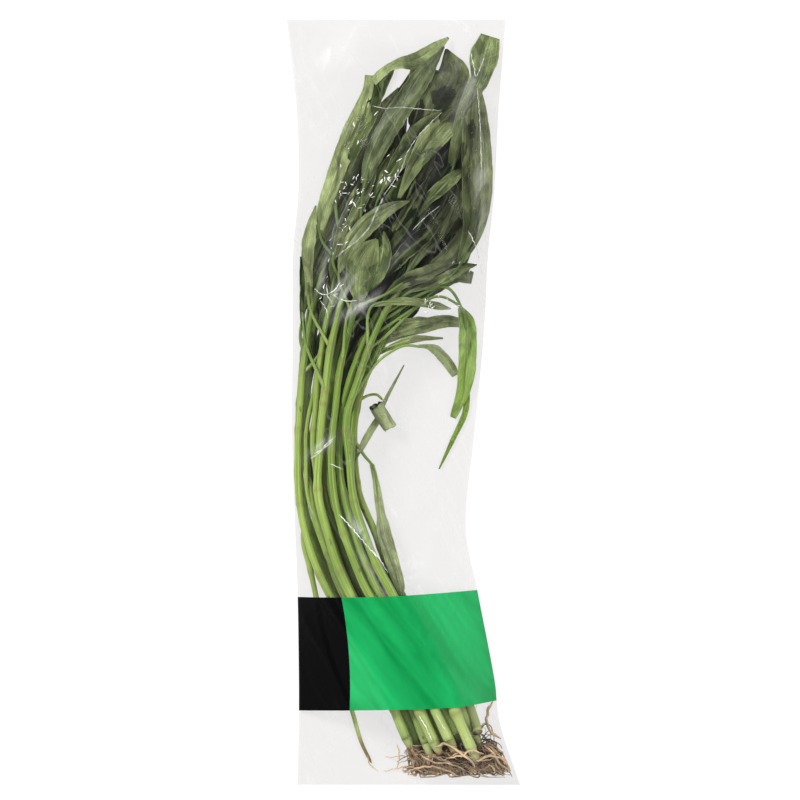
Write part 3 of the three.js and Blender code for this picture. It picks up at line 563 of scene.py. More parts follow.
def waves(s, rng, lengths, size):  # a sum of sines of given wave lengths, with random starts
    total = sum(np.sin(2 * math.pi * s / length + rng.uniform(0, 2 * math.pi)) * rng.uniform(0.5, 1)
                for length in lengths)
    return size * total / len(lengths)


def latticeNoise(x, y, rng):  # smooth noise from -1 to 1 on a wrapped grid of random heights
    table = rng.uniform(-1, 1, (64, 64))

    def at(a, b):
        return table[a % 64, b % 64]

    i, j = np.floor(x).astype(int), np.floor(y).astype(int)
    u, v = (t * t * (3 - 2 * t) for t in (x - i, y - j))
    return mix(mix(at(i, j), at(i + 1, j), u), mix(at(i, j + 1), at(i + 1, j + 1), u), v)


# A shader node of a kind with its settings. Each input is joined to a wire or set to a number or a colour.
def addNode(tree, kind, inputs, output=0, **settings):
    made = tree.nodes.new("ShaderNode" + kind)
    for key, value in settings.items():
        setattr(made, key, value)
    for key, value in inputs.items():
        socket = made.inputs[key]
        if isinstance(value, Wire):
            tree.links.new(value.socket, socket)
        elif value is not None:
            socket.default_value = (*value, 1) if socket.type == "RGBA" else value
    return Wire(tree, made.outputs[output])


class Wire:  # what comes out of a node, reckoned with like a number
    def __init__(self, tree, socket):
        self.tree, self.socket = tree, socket

    def maths(self, operation, *values):
        return addNode(self.tree, "Math", dict(enumerate(values)), operation=operation)

    def __add__(self, other):
        return self.maths("ADD", self, other)

    def __sub__(self, other):
        return self.maths("SUBTRACT", self, other)

    def __rsub__(self, other):
        return self.maths("SUBTRACT", other, self)

    def __mul__(self, other):
        return self.maths("MULTIPLY", self, other)

    def __truediv__(self, other):
        return self.maths("DIVIDE", self, other)

    def __lt__(self, other):
        return self.maths("LESS_THAN", self, other)

    def __gt__(self, other):
        return self.maths("GREATER_THAN", self, other)

    def __abs__(self):
        return self.maths("ABSOLUTE", self)

    def clamped(self):
        self.socket.node.use_clamp = True
        return self

    def ramp(self, low, high):  # 0 at low, 1 at high, smooth between
        return addNode(self.tree, "MapRange", {0: self, 1: low, 2: high}, interpolation_type="SMOOTHSTEP")

    def between(self, a, b):  # colour a where this is 0, colour b where it is 1
        return addNode(self.tree, "Mix", {0: self, 6: a, 7: b}, 2, data_type="RGBA")

    def xy(self):  # the first two numbers of a vector or a colour
        split = addNode(self.tree, "SeparateXYZ", {0: self})
        return split, Wire(self.tree, split.socket.node.outputs[1])

    # Noise drawn out by the three lengths along axes that are turned about z
    def noise(self, scale, detail=2, lengths=(1, 1, 1), turn=0, distortion=0):
        place = {0: self, "Scale": lengths, "Rotation": (0, 0, turn)}
        drawn = addNode(self.tree, "Mapping", place, vector_type="TEXTURE")
        settings = {"Vector": drawn, "Scale": scale, "Detail": detail, "Distortion": distortion}
        return addNode(self.tree, "TexNoise", settings)

    def bump(self, strength, distance, under=None):
        height = {"Height": self, "Strength": strength, "Distance": distance, "Normal": under}
        return addNode(self.tree, "Bump", height)

    def over(self, share, below):  # a share of this shader over another
        return addNode(self.tree, "MixShader", {0: share, 1: below, 2: self})


# Cells of the given lengths: a random value for each, and 1 on the thin lines between them
def cellsOn(vector, lengths):
    tree = vector.tree
    bend = addNode(tree, "TexNoise", {"Vector": vector, "Scale": 9, "Detail": 1}, "Color")
    bent = addNode(tree, "Mix", {0: 0.06, 4: vector, 5: bend}, 1, data_type="VECTOR")
    drawn = addNode(tree, "Mapping", {0: bent, "Scale": lengths}, vector_type="TEXTURE")
    place, flat = {"Vector": drawn, "Scale": 1}, {"voronoi_dimensions": "2D"}
    cell = addNode(tree, "TexVoronoi", place, "Color", feature="F1", **flat)
    border = addNode(tree, "TexVoronoi", place, "Distance", feature="DISTANCE_TO_EDGE", **flat)
    return cell.xy()[0], border.ramp(0.05, 0)


def placeOn(tree):
    return addNode(tree, "TexCoord", {}, "Object")


def surfaceOn(tree):
    return addNode(tree, "UVMap", {}, uv_map="surface")


def valuesOn(tree, *names):
    return [addNode(tree, "Attribute", {}, "Fac", attribute_name=name) for name in names]


def layered(colour, *layers):  # each layer is a wire that says how much of it shows, and its colour
    for share, paint in layers:
        colour = share.between(colour, paint)
    return colour


def skin(tree, colour, roughness, specular, normal=None, **more):
    inputs = {"Base Color": colour, "Roughness": roughness, "Specular IOR Level": specular, "Normal": normal}
    return addNode(tree, "BsdfPrincipled", {**inputs, **more})


def makeMaterial(name, surface, *settings):
    material = bpy.data.materials.new(name)
    material.use_nodes = True
    tree = material.node_tree
    tree.nodes.clear()
    out = tree.nodes.new("ShaderNodeOutputMaterial")
    tree.links.new(surface(tree, *settings).socket, out.inputs[0])
    return material


# Leaf colours: edge is a painted highlight along the blade's edges, and the last is the painted shade deep in
# the pile
bladePaint = {
    "dark": (0.006, 0.013, 0.003), "light": (0.285, 0.345, 0.138), "fresh": (0.21, 0.355, 0.050),
    "grey": (0.15, 0.17, 0.11), "under": (0.50, 0.565, 0.295), "edge": (0.38, 0.45, 0.21),
    "deep": (0.001, 0.002, 0.001),
}


# dull green, paler below, with fine side veins, mottled, crumpled into long cells whose tones and borders
# carry painted shade and highlight; a painted highlight along the edges, and painted shade deep in the pile
# and in the folds
def bladeSurface(tree):
    place, uv, paint = placeOn(tree), surfaceOn(tree), bladePaint
    tint, under, fresh, deep, grey = valuesOn(tree, "tint", "under", "fresh", "deep", "grey")
    u, along = uv.xy()
    across = abs(u - 0.5)  # 0 at the midrib, 0.5 at the edge
    # each crumpled cell gets its own tone, partly painted shade of its facet
    cell, border = cellsOn(uv, (0.42, 0.11, 1))
    tint = (tint + (cell - 0.5) * 0.65).clamped()
    colour = layered(tint.between(paint["dark"], paint["light"]), (fresh, paint["fresh"]),
                     (grey * 0.4, paint["grey"]), (under * 0.85, paint["under"]))
    mottle = place.noise(110, 4, (1, 1.8, 1), 0, 0.6).ramp(0.40, 0.60)
    streak = uv.noise(1, 4, (0.045, 0.20, 1), 0, 0.3)
    slant = (along - across * 0.16) * 24
    vein = slant.maths("PINGPONG", slant, 1).ramp(0.84, 1) * 0.3
    shade = ((streak.ramp(0.34, 0.66) - 0.5) * (0.45 - fresh * 0.2) + 0.9) * (1.1 - mottle * 0.38)
    # lighter along the midrib and the side veins; a painted highlight along the borders of the crumpled cells
    shade = shade * (across.ramp(0.045, 0.012) * 0.3 + vein + border * 0.15 + 1)
    colour = addNode(tree, "VectorMath", {0: colour, "Scale": shade}, operation="SCALE")
    # painted highlight: a pale, broken line along the blade's edges
    edge = across.ramp(0.445, 0.48) * place.noise(60, 1).ramp(0.42, 0.56) * (tint * 0.5 + 0.3)
    colour = layered(colour, (edge, paint["edge"]), (deep, paint["deep"]))
    normal = (vein * 1.5 + streak * 1.6 + cell * 0.6).bump(0.7, 0.0009)
    normal = place.noise(170, 3, (1, 1.6, 1)).bump(0.9, 0.0012, normal)
    normal = place.noise(42, 2, (1, 2.2, 1)).bump(0.9, 0.0045, normal)
    return skin(tree, colour, addNode(tree, "MapRange", {0: mottle, 3: 0.34, 4: 0.55}), 0.3, normal)


# Stem colours: the last is the painted shade deep in the pile
stemPaint = {
    "green": (0.12, 0.215, 0.026), "light": (0.32, 0.435, 0.092), "pale": (0.47, 0.56, 0.21),
    "paleFibre": (0.40, 0.49, 0.18), "darkFibre": (0.075, 0.16, 0.016), "patch": (0.09, 0.18, 0.03),
    "speck": (0.12, 0.09, 0.035), "ring": (0.20, 0.165, 0.065), "dull": (0.085, 0.125, 0.045),
    "deep": (0.010, 0.017, 0.006),
}


# pale at the base, greener among the leaves, with fibres along it, brown specks and rings at the nodes;
# painted shade deep in the pile
def stemSurface(tree):
    place, uv, paint = placeOn(tree), surfaceOn(tree), stemPaint
    tint, ring, pale, deep, dull = valuesOn(tree, "tint", "under", "fresh", "deep", "grey")
    streak = uv.noise(1, 3, (0.07, 0.8, 1), 0, 0.3)
    patch = place.noise(26, 3, (1, 1.8, 1)).ramp(0.48, 0.7)
    speck = place.noise(260, 1, (1, 1.8, 1)).ramp(0.70, 0.76)
    colour = layered(
        tint.between(paint["green"], paint["light"]), (pale, paint["pale"]),
        (streak.ramp(0.5, 0.64) * 0.6, paint["paleFibre"]),
        (streak.ramp(0.47, 0.33) * 0.65, paint["darkFibre"]),
        (patch * 0.45, paint["patch"]), (speck * 0.7, paint["speck"]), (ring * 0.65, paint["ring"]),
        (dull * 0.75, paint["dull"]), (deep, paint["deep"]))
    return skin(tree, colour, 0.36, 0.4, streak.bump(0.5, 0.0008))


# Root colours: the last is the painted shade deep in the pile
rootPaint = {
    "brown": (0.32, 0.188, 0.092), "light": (0.64, 0.472, 0.298), "dark": (0.13, 0.072, 0.038),
    "crown": (0.36, 0.44, 0.17), "patch": (0.18, 0.105, 0.055), "deep": (0.045, 0.026, 0.014),
}


# dull brown, each root in its own tone, greener on the crown, with patches and fine grit; painted shade deep
# in the pile
def rootSurface(tree):
    place, paint = placeOn(tree), rootPaint
    tint, dark, crown, deep = valuesOn(tree, "tint", "under", "fresh", "deep")
    patch = place.noise(120, 3).ramp(0.5, 0.72)
    colour = layered(
        tint.between(paint["brown"], paint["light"]), (dark, paint["dark"]), (crown, paint["crown"]),
        (patch * 0.45, paint["patch"]), (deep, paint["deep"]))
    return skin(tree, colour, 0.72, 0.25, place.noise(700).bump(0.5, 0.0004))


band = {  # the printed band on the sleeve, in metres: each of its edges is y = start + slope * x
    "topStart": -0.1257, "topSlope": 0.0390,
    "bottomStart": -0.1998, "bottomSlope": 0.0508,
    "middleY": -0.164, "half": 0.037,
    "blackX": -0.0378, "blackBow": 0.0022, "blackLean": -0.072,
    "stemsX": -0.002, "stemsLean": 0.56,  # where the stems lie below it, and how they slant
    "green": (0.0030, 0.185, 0.042), "paintedLitGreen": (0.015, 0.385, 0.110),
    "black": (0.0022, 0.0022, 0.0026),
}


# the ink inside the band, black left of a slanting, bowed edge and green right of it; the green carries
# painted shade over the stems below it and painted light beside them and in streaks along them
def bandInk(tree, place, normal, clear):
    x, y = place.xy()
    top, bottom = (x * band[edge + "Slope"] + band[edge + "Start"] for edge in ("top", "bottom"))
    inside = (y < top) * (y > bottom)
    middle = y - band["middleY"]
    down = middle / band["half"]  # 1 at the top edge, -1 at the bottom
    bow = (1 - down * down) * band["blackBow"]
    isBlack = x < middle * band["blackLean"] + band["blackX"] + bow
    # painted light and shade: streaks along the stems below, and the green lighter away from them
    streak = place.noise(30, 2, (0.42, 3.2, 1), 0.68, 0.3).ramp(0.36, 0.66)
    aside = abs(x - band["stemsX"] + middle * band["stemsLean"])
    green = (streak * 0.5 + aside.ramp(0.010, 0.036) * 0.5).between(band["green"], band["paintedLitGreen"])
    ink = skin(tree, isBlack.between(green, band["black"]), 0.3, 0.02, normal)
    return ink.over(isBlack * 0.015 + 0.982, clear), inside


# clear film: it lets most light through, mirrors a little and is faintly milky; it is painted milky white as
# a sheen in patches and along thin creases of the noise
def filmSurface(tree, printed):
    place = placeOn(tree)
    wide = place.noise(22, 3, (0.55, 2.4, 1), 0.5, 0.6)
    fine = place.noise(80, 3, (0.5, 2.2, 1), -0.5, 0.8)
    normal = fine.bump(0.4, 0.001, wide.bump(0.5, 0.003))
    clear = addNode(tree, "BsdfTransparent", {"Color": (0.915, 0.911, 0.908)})
    gloss = addNode(tree, "BsdfGlossy", {"Roughness": 0.08, "Normal": normal})
    milkAndSheen = addNode(tree, "BsdfDiffuse", {"Color": (0.9, 0.9, 0.9)})
    cloud = place.noise(60, 4, (0.5, 2.4, 1), -0.5, 1).ramp(0.47, 0.62)
    haze = valuesOn(tree, "haze")[0] * (cloud * 0.75 + 0.25)
    # painted highlight: thin milky lines along the creases of the noise
    crease = abs(wide - 0.5).ramp(0.010, 0)
    share = (haze * 0.55 + crease * 0.05 + 0.002).clamped()
    film = milkAndSheen.over(share, gloss.over(0.020, clear))
    if printed:
        ink, inside = bandInk(tree, place, normal, clear)
        film = ink.over(inside, film)
    return film


def glintSurface(tree):  # painted highlights: the white lines where the film is creased
    white = skin(tree, (0.9, 0.9, 0.89), 0.25, 0.5)
    clear = addNode(tree, "BsdfTransparent", {})
    broken = placeOn(tree).noise(260).ramp(0.40, 0.56)
    return white.over(valuesOn(tree, "haze")[0] * (broken * 0.65 + 0.35), clear)


bladeSkin = makeMaterial("bladeSkin", bladeSurface)
stemSkin = makeMaterial("stemSkin", stemSurface)
rootSkin = makeMaterial("rootSkin", rootSurface)
frontFilm = makeMaterial("frontFilm", filmSurface, True)
backFilm = makeMaterial("backFilm", filmSurface, False)
glintPaint = makeMaterial("glintPaint", glintSurface)
print("made the materials")


stemLook = {
    "step": 2.6,
    "sides": 14,
    "bend": 1.1,
    "bendFrom": (-200, -160),  # the bends grow between these y
    "bendTo": (60, 0),  # and shrink again between these
    "bow": {"by": 2.4, "x": (-56, -64), "y": -36, "reach": 52},  # what lies at the left edge bows out there
    "firstNode": (18, 40),
    "nodeEvery": (38, 62),
    "swelling": (0.16, 2.8),  # at a node: its share of the radius, its half length
    "ring": (0.8, 1.5),  # the brown ring there: its strength, its half length
    "wander": 0.06,  # of the radius
    "ribs": (0.03, 0.018),  # three ribs and five
    "tint": (0.25, 1.05),
    "greyY": (20, 110),
    "paleY": (-165, -215),
}
petioleLook = {"step": 2.2, "sides": 8, "radius": (1.25, 0.85), "squash": 0.85}
bladeLook = {
    "step": 1.6,
    "thickness": 0.34,
    "across": (-1, -0.95, -0.84, -0.68, -0.5, -0.32, -0.14, 0, 0.14, 0.32, 0.5, 0.68, 0.84, 0.95, 1),
    "fold": (0.02, 0.30),  # how steeply the halves rise from the midrib
    "ripple": (0.4, 1.1),
    "pleat": (0.3, 1.1),  # folds along the blade
    "crumple": 0.5,
    "shade": 0.55,  # the painted shade in its folds
}


# Radius * (1 + a swelling at each node + slow waves) * (1 + a cosine of 3 turns + a cosine of 5 turns)
def stemPart(route, rng, leafYs=(), paleness=0, size=1):
    look, bow = stemLook, stemLook["bow"]
    line = fineLine(rowsOf(route, "x", "y", "z", "half"), look["step"])
    centre, half, s = line[:, :3], line[:, 3] * size, line[:, 4]
    y = centre[:, 1]
    bends = rise(y, *look["bendFrom"]) * rise(y, *look["bendTo"])
    centre += directions(centre)[0] * (waves(s, rng, (150, 83, 47), look["bend"]) * bends)[:, None]
    outward = rise(centre[:, 0], *bow["x"]) * np.exp(-(((y - bow["y"]) / bow["reach"]) ** 2))
    centre[:, 0] -= bow["by"] * outward
    nodesAt, at = [], rng.uniform(*look["firstNode"])
    while at < s[-1]:
        nodesAt.append(at)
        at += rng.uniform(*look["nodeEvery"])
    off = np.abs(s[:, None] - np.append(nodesAt, np.interp(leafYs, y, s))).min(axis=1)  # to the nearest node
    swell, ring = (high * np.exp(-((off / length) ** 2)) for high, length in (look["swelling"], look["ring"]))
    half = half * (1 + swell + waves(s, rng, (47, 21), look["wander"]))
    half[-1] *= 0.35
    turn, (three, five) = turnsOf(look["sides"]), look["ribs"]
    ribs = 1 + three * np.cos(3 * turn + rng.uniform(0, 6)) + five * np.cos(5 * turn)
    tint = np.clip(rng.uniform(*look["tint"]) - (y + 60) / 330 + waves(s, rng, (90, 51), 0.15), 0, 1)
    pale = np.clip(rise(y, *look["paleY"]) * 0.8 + paleness, 0, 1)
    return tubePart(centre, half[:, None] * ribs, look["sides"], tint=tint, under=ring, fresh=pale,
                    grey=rise(y, *look["greyY"]))


# A flattened round skin whose radius shrinks from the first to the second over five eighths of its length
def petiolePart(line, tint):
    look, share = petioleLook, line[:, -1] / line[-1, -1]
    radius = mix(*look["radius"], np.clip(share * 1.6, 0, 1))
    radius[-1] *= 0.5
    return tubePart(line[:, :3], radius, look["sides"], squash=look["squash"], tint=tint,
                    grey=rise(line[:, 1], 30, 90), fresh=np.clip(0.35 - share * 0.5, 0, 1))


# Centre line + side * half * v, raised by the standing edge, by a fold that rises from the midrib, by pleats
# along the blade and by waves that grow towards the edges. Each face stands half a thickness from there.
def bladePart(rows, rng, tint, fresh, grey, calm=1, pale=0):
    look, v = bladeLook, np.array(bladeLook["across"])
    line = fineLine(rows, look["step"])
    centre, (half, upLeft, upRight, s) = line[:, :3], np.split(line[:, 3:], 4, axis=1)
    size, taper = np.clip(half / 5, 0.05, 1.2), fade(s, 9)
    fold = rng.uniform(*look["fold"]) * half * taper * rng.choice([1, 1, 1, -0.5]) * calm
    ripple = rng.uniform(*look["ripple"]) * size * taper * calm
    edges = [1 + waves(s, rng, lengths, 0.13 * calm) * taper for lengths in ((31, 13, 7), (27, 15, 8))]
    across = half * v * np.where(v > 0, *edges)
    wave = np.where(v > 0, *(waves(s, rng, lengths, 1.5) for lengths in ((37, 19, 11), (33, 17, 12)))) * v**2
    drift = waves(s, rng, (23, 14), 0.5) * np.abs(v)
    pleat = rng.uniform(*look["pleat"]) * size * taper * calm
    shift = waves(s, rng, (80, 41), 1.6) + rng.uniform(0, 6)
    pleats = np.arcsin(np.sin(rng.uniform(2.6, 5) * v + shift)) / 1.57 * (1 - v**4)
    start = rng.uniform(0, 60)
    crumple = latticeNoise(half * v / 4 + start, s / 9 + start + 0 * v, rng)
    lift = mix(upLeft, upRight, (v + 1) / 2) + fold * np.abs(v) ** 1.2 + ripple * (wave + drift)
    lift += pleat * pleats + look["crumple"] * calm * taper * size * crumple
    surface = centre[:, None] + across[..., None] * directions(centre)[0][:, None]
    surface[..., 2] += np.maximum(lift, -0.5)
    normal = np.cross(np.gradient(surface, axis=1), np.gradient(surface, axis=0))
    normal *= np.sign(normal[..., 2:] + 1e-12)
    normal /= np.linalg.norm(normal, axis=2, keepdims=True) + 1e-9
    thick = look["thickness"] * (1 - 0.5 * v**4) * np.clip(half / 2.5, 0.4, 1)
    rib = 0.45 * np.exp(-((v / 0.12) ** 2)) * (1 - 0.8 * s / s[-1])
    top, bottom = surface + normal * (thick / 2)[..., None], surface - normal * (thick / 2 + rib)[..., None]
    uv = ((np.append(v[::-1], v) + 1) / 2, s / 100 + rng.uniform(0, 9))
    # Painted shade in the valleys of the pleats and the hollows of the crumples, and a painted highlight on
    # the pleats' ridges over the leaf's own paleness
    steep = pleat / (look["pleat"][1] * calm)
    low, high = (steep * np.exp(-(((pleats - end) / 0.3) ** 2)) for end in (-1, 1))
    foldShade = (np.clip(-pleats, 0, 1) * steep + 0.4 * np.clip(-crumple, 0, 1)) * calm + 0.9 * low
    paleAndRidgeLight = np.minimum(pale + 0.5 * high, 1)
    tint = np.clip(tint + waves(s, rng, (60, 35), 0.22), 0, 1)

    def around(above, below):  # over the top face and back along the bottom
        return np.concatenate([above[:, ::-1], below], axis=1)

    return makePart(
        around(top, bottom), loftFaces(len(s), 2 * len(v)), 1, uv, np.repeat((1, -1), len(v)), tint=tint,
        under=around(paleAndRidgeLight, np.ones(high.shape)), deep=look["shade"] * around(foldShade, foldShade), grey=grey,
        fresh=fresh)


# Blades drawn closer than in the solids, by plant and by where the leaf starts: tint, fresh, pale and height
# above the solid's blade, then (x, y, half width) along it
ownBlades = {
    (11, -24): [(0.9, 0.3, 0.95, 0, (-20.7, -41, 1.5), (-18.3, -51.7, 2), (-16.4, -63.5, 2.7),
                 (-14.6, -75, 3), (-13.6, -80, 4.2), (-12.6, -86, 4.7), (-10.3, -94, 4.7),
                 (-7.5, -104.7, 4.6), (-2.5, -120, 3.4), (-0.9, -127.8, 1.2))],
    (11, -72): [(1, 0.2, 1, 0, (-29, -33, 1.3), (-26.6, -28, 2.2), (-22.5, -20.5, 2.4), (-17.5, -12.5, 2.3),
                 (-14, -8, 1.8)),
                (1, 0.3, 1, 3, (-14, -3, 1.5), (-10.5, 4, 1.2), (-6, 12.5, 0.9), (0.5, 24.6, 0.4))],
    (13, -6): [(1, 0.4, 0.8, 0, (10, 36.6, 1.1), (15, 36.5, 1.6), (20.5, 34.6, 3.1), (27, 28.8, 3.6),
                (32, 22, 3.3), (34.4, 17.6, 2.4))],
    (15, 36): [(0.9, 0.9, 0.1, 0, (37, 62, 1.6), (41.4, 53, 5.2), (42.2, 38, 6), (41.8, 22, 5.8),
                (39.6, 8, 4.6), (36, -2, 3.3), (33.4, -8.4, 2.4), (32.7, -10.2, 1.8))],
    (15, 112): [(0.45, 0.15, 0.1, 0, (30, 148, 2), (38, 184, 4.6), (45, 202, 5.6), (50.5, 213, 6.6),
                 (53, 227, 9.6), (56, 237, 7.6), (57.4, 241.4, 6.4))],
    (15, 84): [(0.02, 0, 0, 0.8, (7, 128, 1), (15, 139, 3.6), (24, 151, 5), (33, 163, 4.6), (38, 172, 2)),
               (0.32, 0.03, 0.12, 1.6, (-3, 133, 1.2), (3, 146, 3.4), (9, 157.5, 5.6), (17, 169, 7.8),
                (27, 180, 8.4), (35, 188, 7), (41, 193, 3))],
    (15, 74): [(0.1, 0, 0, 0, (6, 104, 1), (14, 120, 5), (22, 134, 6), (28, 146, 3)),
               (0.26, 0.05, 0.03, 1.2, (9, 121, 1), (15, 131, 3.2), (25, 140, 4.4), (34, 147.5, 3.6),
                (40, 152, 1))],
    (13, 62): [(0.75, 0.05, 0.32, 1.3, (38, 90, 1), (48, 108, 2.6), (52.4, 128, 4.6), (53.2, 150, 5.4),
                (52, 174, 5), (50.4, 194, 4), (49, 208, 1.6))],
    (15, 58): [(0.25, 0.05, 0.05, 0.3, (36, 92, 1), (43, 112, 4.6), (44.4, 140, 6.2), (44, 168, 6),
                (45, 190, 4.6), (47, 206, 1.6))],
    (14, 84): [(1, 0.05, 0.3, 0.6, (-54, 112, 2), (-52.5, 122, 4.2), (-43.5, 150, 5.6), (-33.5, 176, 6.4),
                (-26.5, 194, 4.6), (-22.9, 205, 3.3), (-22, 213.6, 3.2)),
               (0.28, 0.05, 0, 0, (-38, 150, 1), (-30, 168, 3.6), (-21.5, 188, 4.6), (-17.4, 203, 4),
                (-16.6, 213, 3.8))],
    (14, 88): [(1, 0.3, 0.55, 0.6, (-20, 209, 2.6), (-14.6, 214.5, 3), (-8.8, 219, 2.7), (-2.2, 221.4, 3.6),
                (5.1, 223.3, 5.2), (13.7, 227.9, 5.2), (22.9, 234.5, 3.4), (29.8, 240.4, 0.8))],
    (12, 96): [(0.16, 0, 0.04, 0.5, (4, 168, 3), (15, 184, 8), (23, 196, 12), (29, 208, 14), (32.5, 217, 11),
                (30.6, 225, 6), (28.2, 233, 0.8))],
    (11, 4): [(0.8, 0.1, 0.7, 0, (-14, 38, 1), (-4, 44.5, 3.6), (14, 50.5, 4.8), (30, 53.4, 4), (39, 52, 2.8),
               (46, 50.4, 2.2))],
    (16, 26): [(0.42, 0.1, 0.08, 0.4, (-28.5, 66, 3), (-28.5, 76, 7.6), (-27, 88, 10.4), (-22, 99, 7),
                (-17, 106, 1)),
               (0.3, 0.12, 0, 0, (-22, 72, 1), (-17, 84, 5.6), (-14, 95, 6.4), (-13, 103, 4.4),
                (-12.6, 111, 0.8))],
}


# Each blade lies its own small height above the solid's blade, at the same share of its length
def ownBladeParts(blade, entries, rng, isOpen):
    along = lengthsAlong(rowsOf(blade, "x", "y"))
    parts = []
    for tint, fresh, pale, up, *line in entries:
        line = np.array(line)
        length = lengthsAlong(line[:, :2])
        z = np.interp(length / length[-1], along / along[-1], [s["z"] for s in blade]) + up
        rows = np.column_stack([line[:, :2], z, line[:, 2], 0 * z, 0 * z])
        parts.append({**bladePart(rows, rng, tint, fresh, 0, 0.45, pale), "open": isOpen or up > 1})
    return parts


shadedSpot = {"x": 26, "y": 136, "width": 30, "length": 66, "shade": 0.92, "deep": 0.66}  # painted shade over the darkest leaves


def nearSpot(x, y):  # 1 in the middle of the shaded spot, falling off as a bell
    spot = shadedSpot
    return np.exp(-(((x - spot["x"]) / spot["width"]) ** 2) - ((y - spot["y"]) / spot["length"]) ** 2)


rolledLeaf = {  # the leaf that is rolled up like a short scroll
    "plant": 11,
    "axis": ((-18.2, -2.2, 8.6), (-8.8, -16.6, 4.4)),  # both ends: x, y and height over the solid's leaf
    "radius": (3.7, 4.9),
    "turns": 1.55,
    "thickness": 0.4,
    "rings": 16,
    "steps": 70,
    "loop": ((-34, -3, 9), (-27, 2.5, 11), (-22, 4.8, 9), (-17.5, 5, 11), (-13.5, 1.5, 9)),  # its stalk
}


# A sheet wound round a level axis: axis + radius(turn) * (cos turn * side + sin turn * up), and its outer and
# inner faces half a thickness from there
def rolledParts(z):
    look, rings, steps = rolledLeaf, rolledLeaf["rings"], rolledLeaf["steps"]
    start, end = np.array(look["axis"]) + (0, 0, z)
    ahead = (end - start) / np.linalg.norm(end - start)
    side = np.array([ahead[1], -ahead[0], 0]) / math.hypot(ahead[0], ahead[1])
    share, t = np.linspace(0, 1, steps), np.linspace(0, 1, rings)[:, None]
    turn = 2.4 + share * look["turns"] * 2 * math.pi
    radius = mix(*look["radius"], share) * (1 + 0.05 * np.sin(5 * t) + 0.04 * np.sin(3 * turn + 4 * t))
    spiral = np.cos(turn)[:, None] * side + np.sin(turn)[:, None] * np.cross(side, ahead)
    ragged = (0.7 * np.sin(2.3 * turn) + 0.3 * np.sin(7 * turn)) * (2 * t - 1)
    middle = mix(start, end, t)[:, None] + ragged[..., None] * ahead
    out = look["thickness"] / 2
    outer, inner = (middle + spiral * rim[..., None] for rim in (radius + out, radius - out))
    uv = (2 * np.append(share, share[::-1]), np.linspace(0, 0.17, rings)[:, None])
    sheet = np.concatenate([outer, inner[:, ::-1]], axis=1)
    # painted shade on the inner face of the roll
    roll = makePart(sheet, loftFaces(rings, 2 * steps), 1, uv, tint=0.9, under=1, fresh=0.2,
                    deep=np.repeat((0.1, 0.8), steps))
    loop = fineLine([(x, y, z + up) for x, y, up in look["loop"]], 1.5)
    return [{**part, "open": True} for part in (roll, petiolePart(loop, 0.6))]


thinStems = [  # shoots low in the bundle, one for each of the first plants: place across, height, half width
    (-0.8, 5, 1.5), (-0.45, 9, 1.7), (-0.1, 6, 1.5), (0.2, 10, 1.6), (0.5, 7, 1.5), (0.78, 5, 1.4),
    (-0.62, 16, 1.5), (0.02, 17, 1.5), (0.38, 16, 1.6), (-0.28, 15, 1.4), (0.64, 13, 1.4),
]


def thinStemRoute(index):  # it follows the bunch, wandering by a sine across it and a sine up and down
    place, height, half = thinStems[index]
    return [{"x": bunchX(y, place + 0.12 * math.sin(y / 37 + index), 3), "y": y,
             "z": height + 1.5 * math.sin(y / 29 + 2 * index), "half": half} for y in np.arange(-196, 62, 22)]


leafLook = {
    "alone": {"fromX": 22, "toY": 62},  # the leaves that hang clear of the pile are the greenest
    "open": {"fromX": -6, "toY": 66},  # these too lie open to the light
    "tip": {"pastY": 234, "leftOfX": 26, "toY": 228},  # tips that end past y and left of x are drawn in to y
    "narrow": 4.4,  # up to this half width a blade lies flat
    "flat": 0.25,  # and so does this share of the wider ones
    "strip": (0.38, 0.5),  # the others are folded: how far out their strips lie, as a share of the half width
}


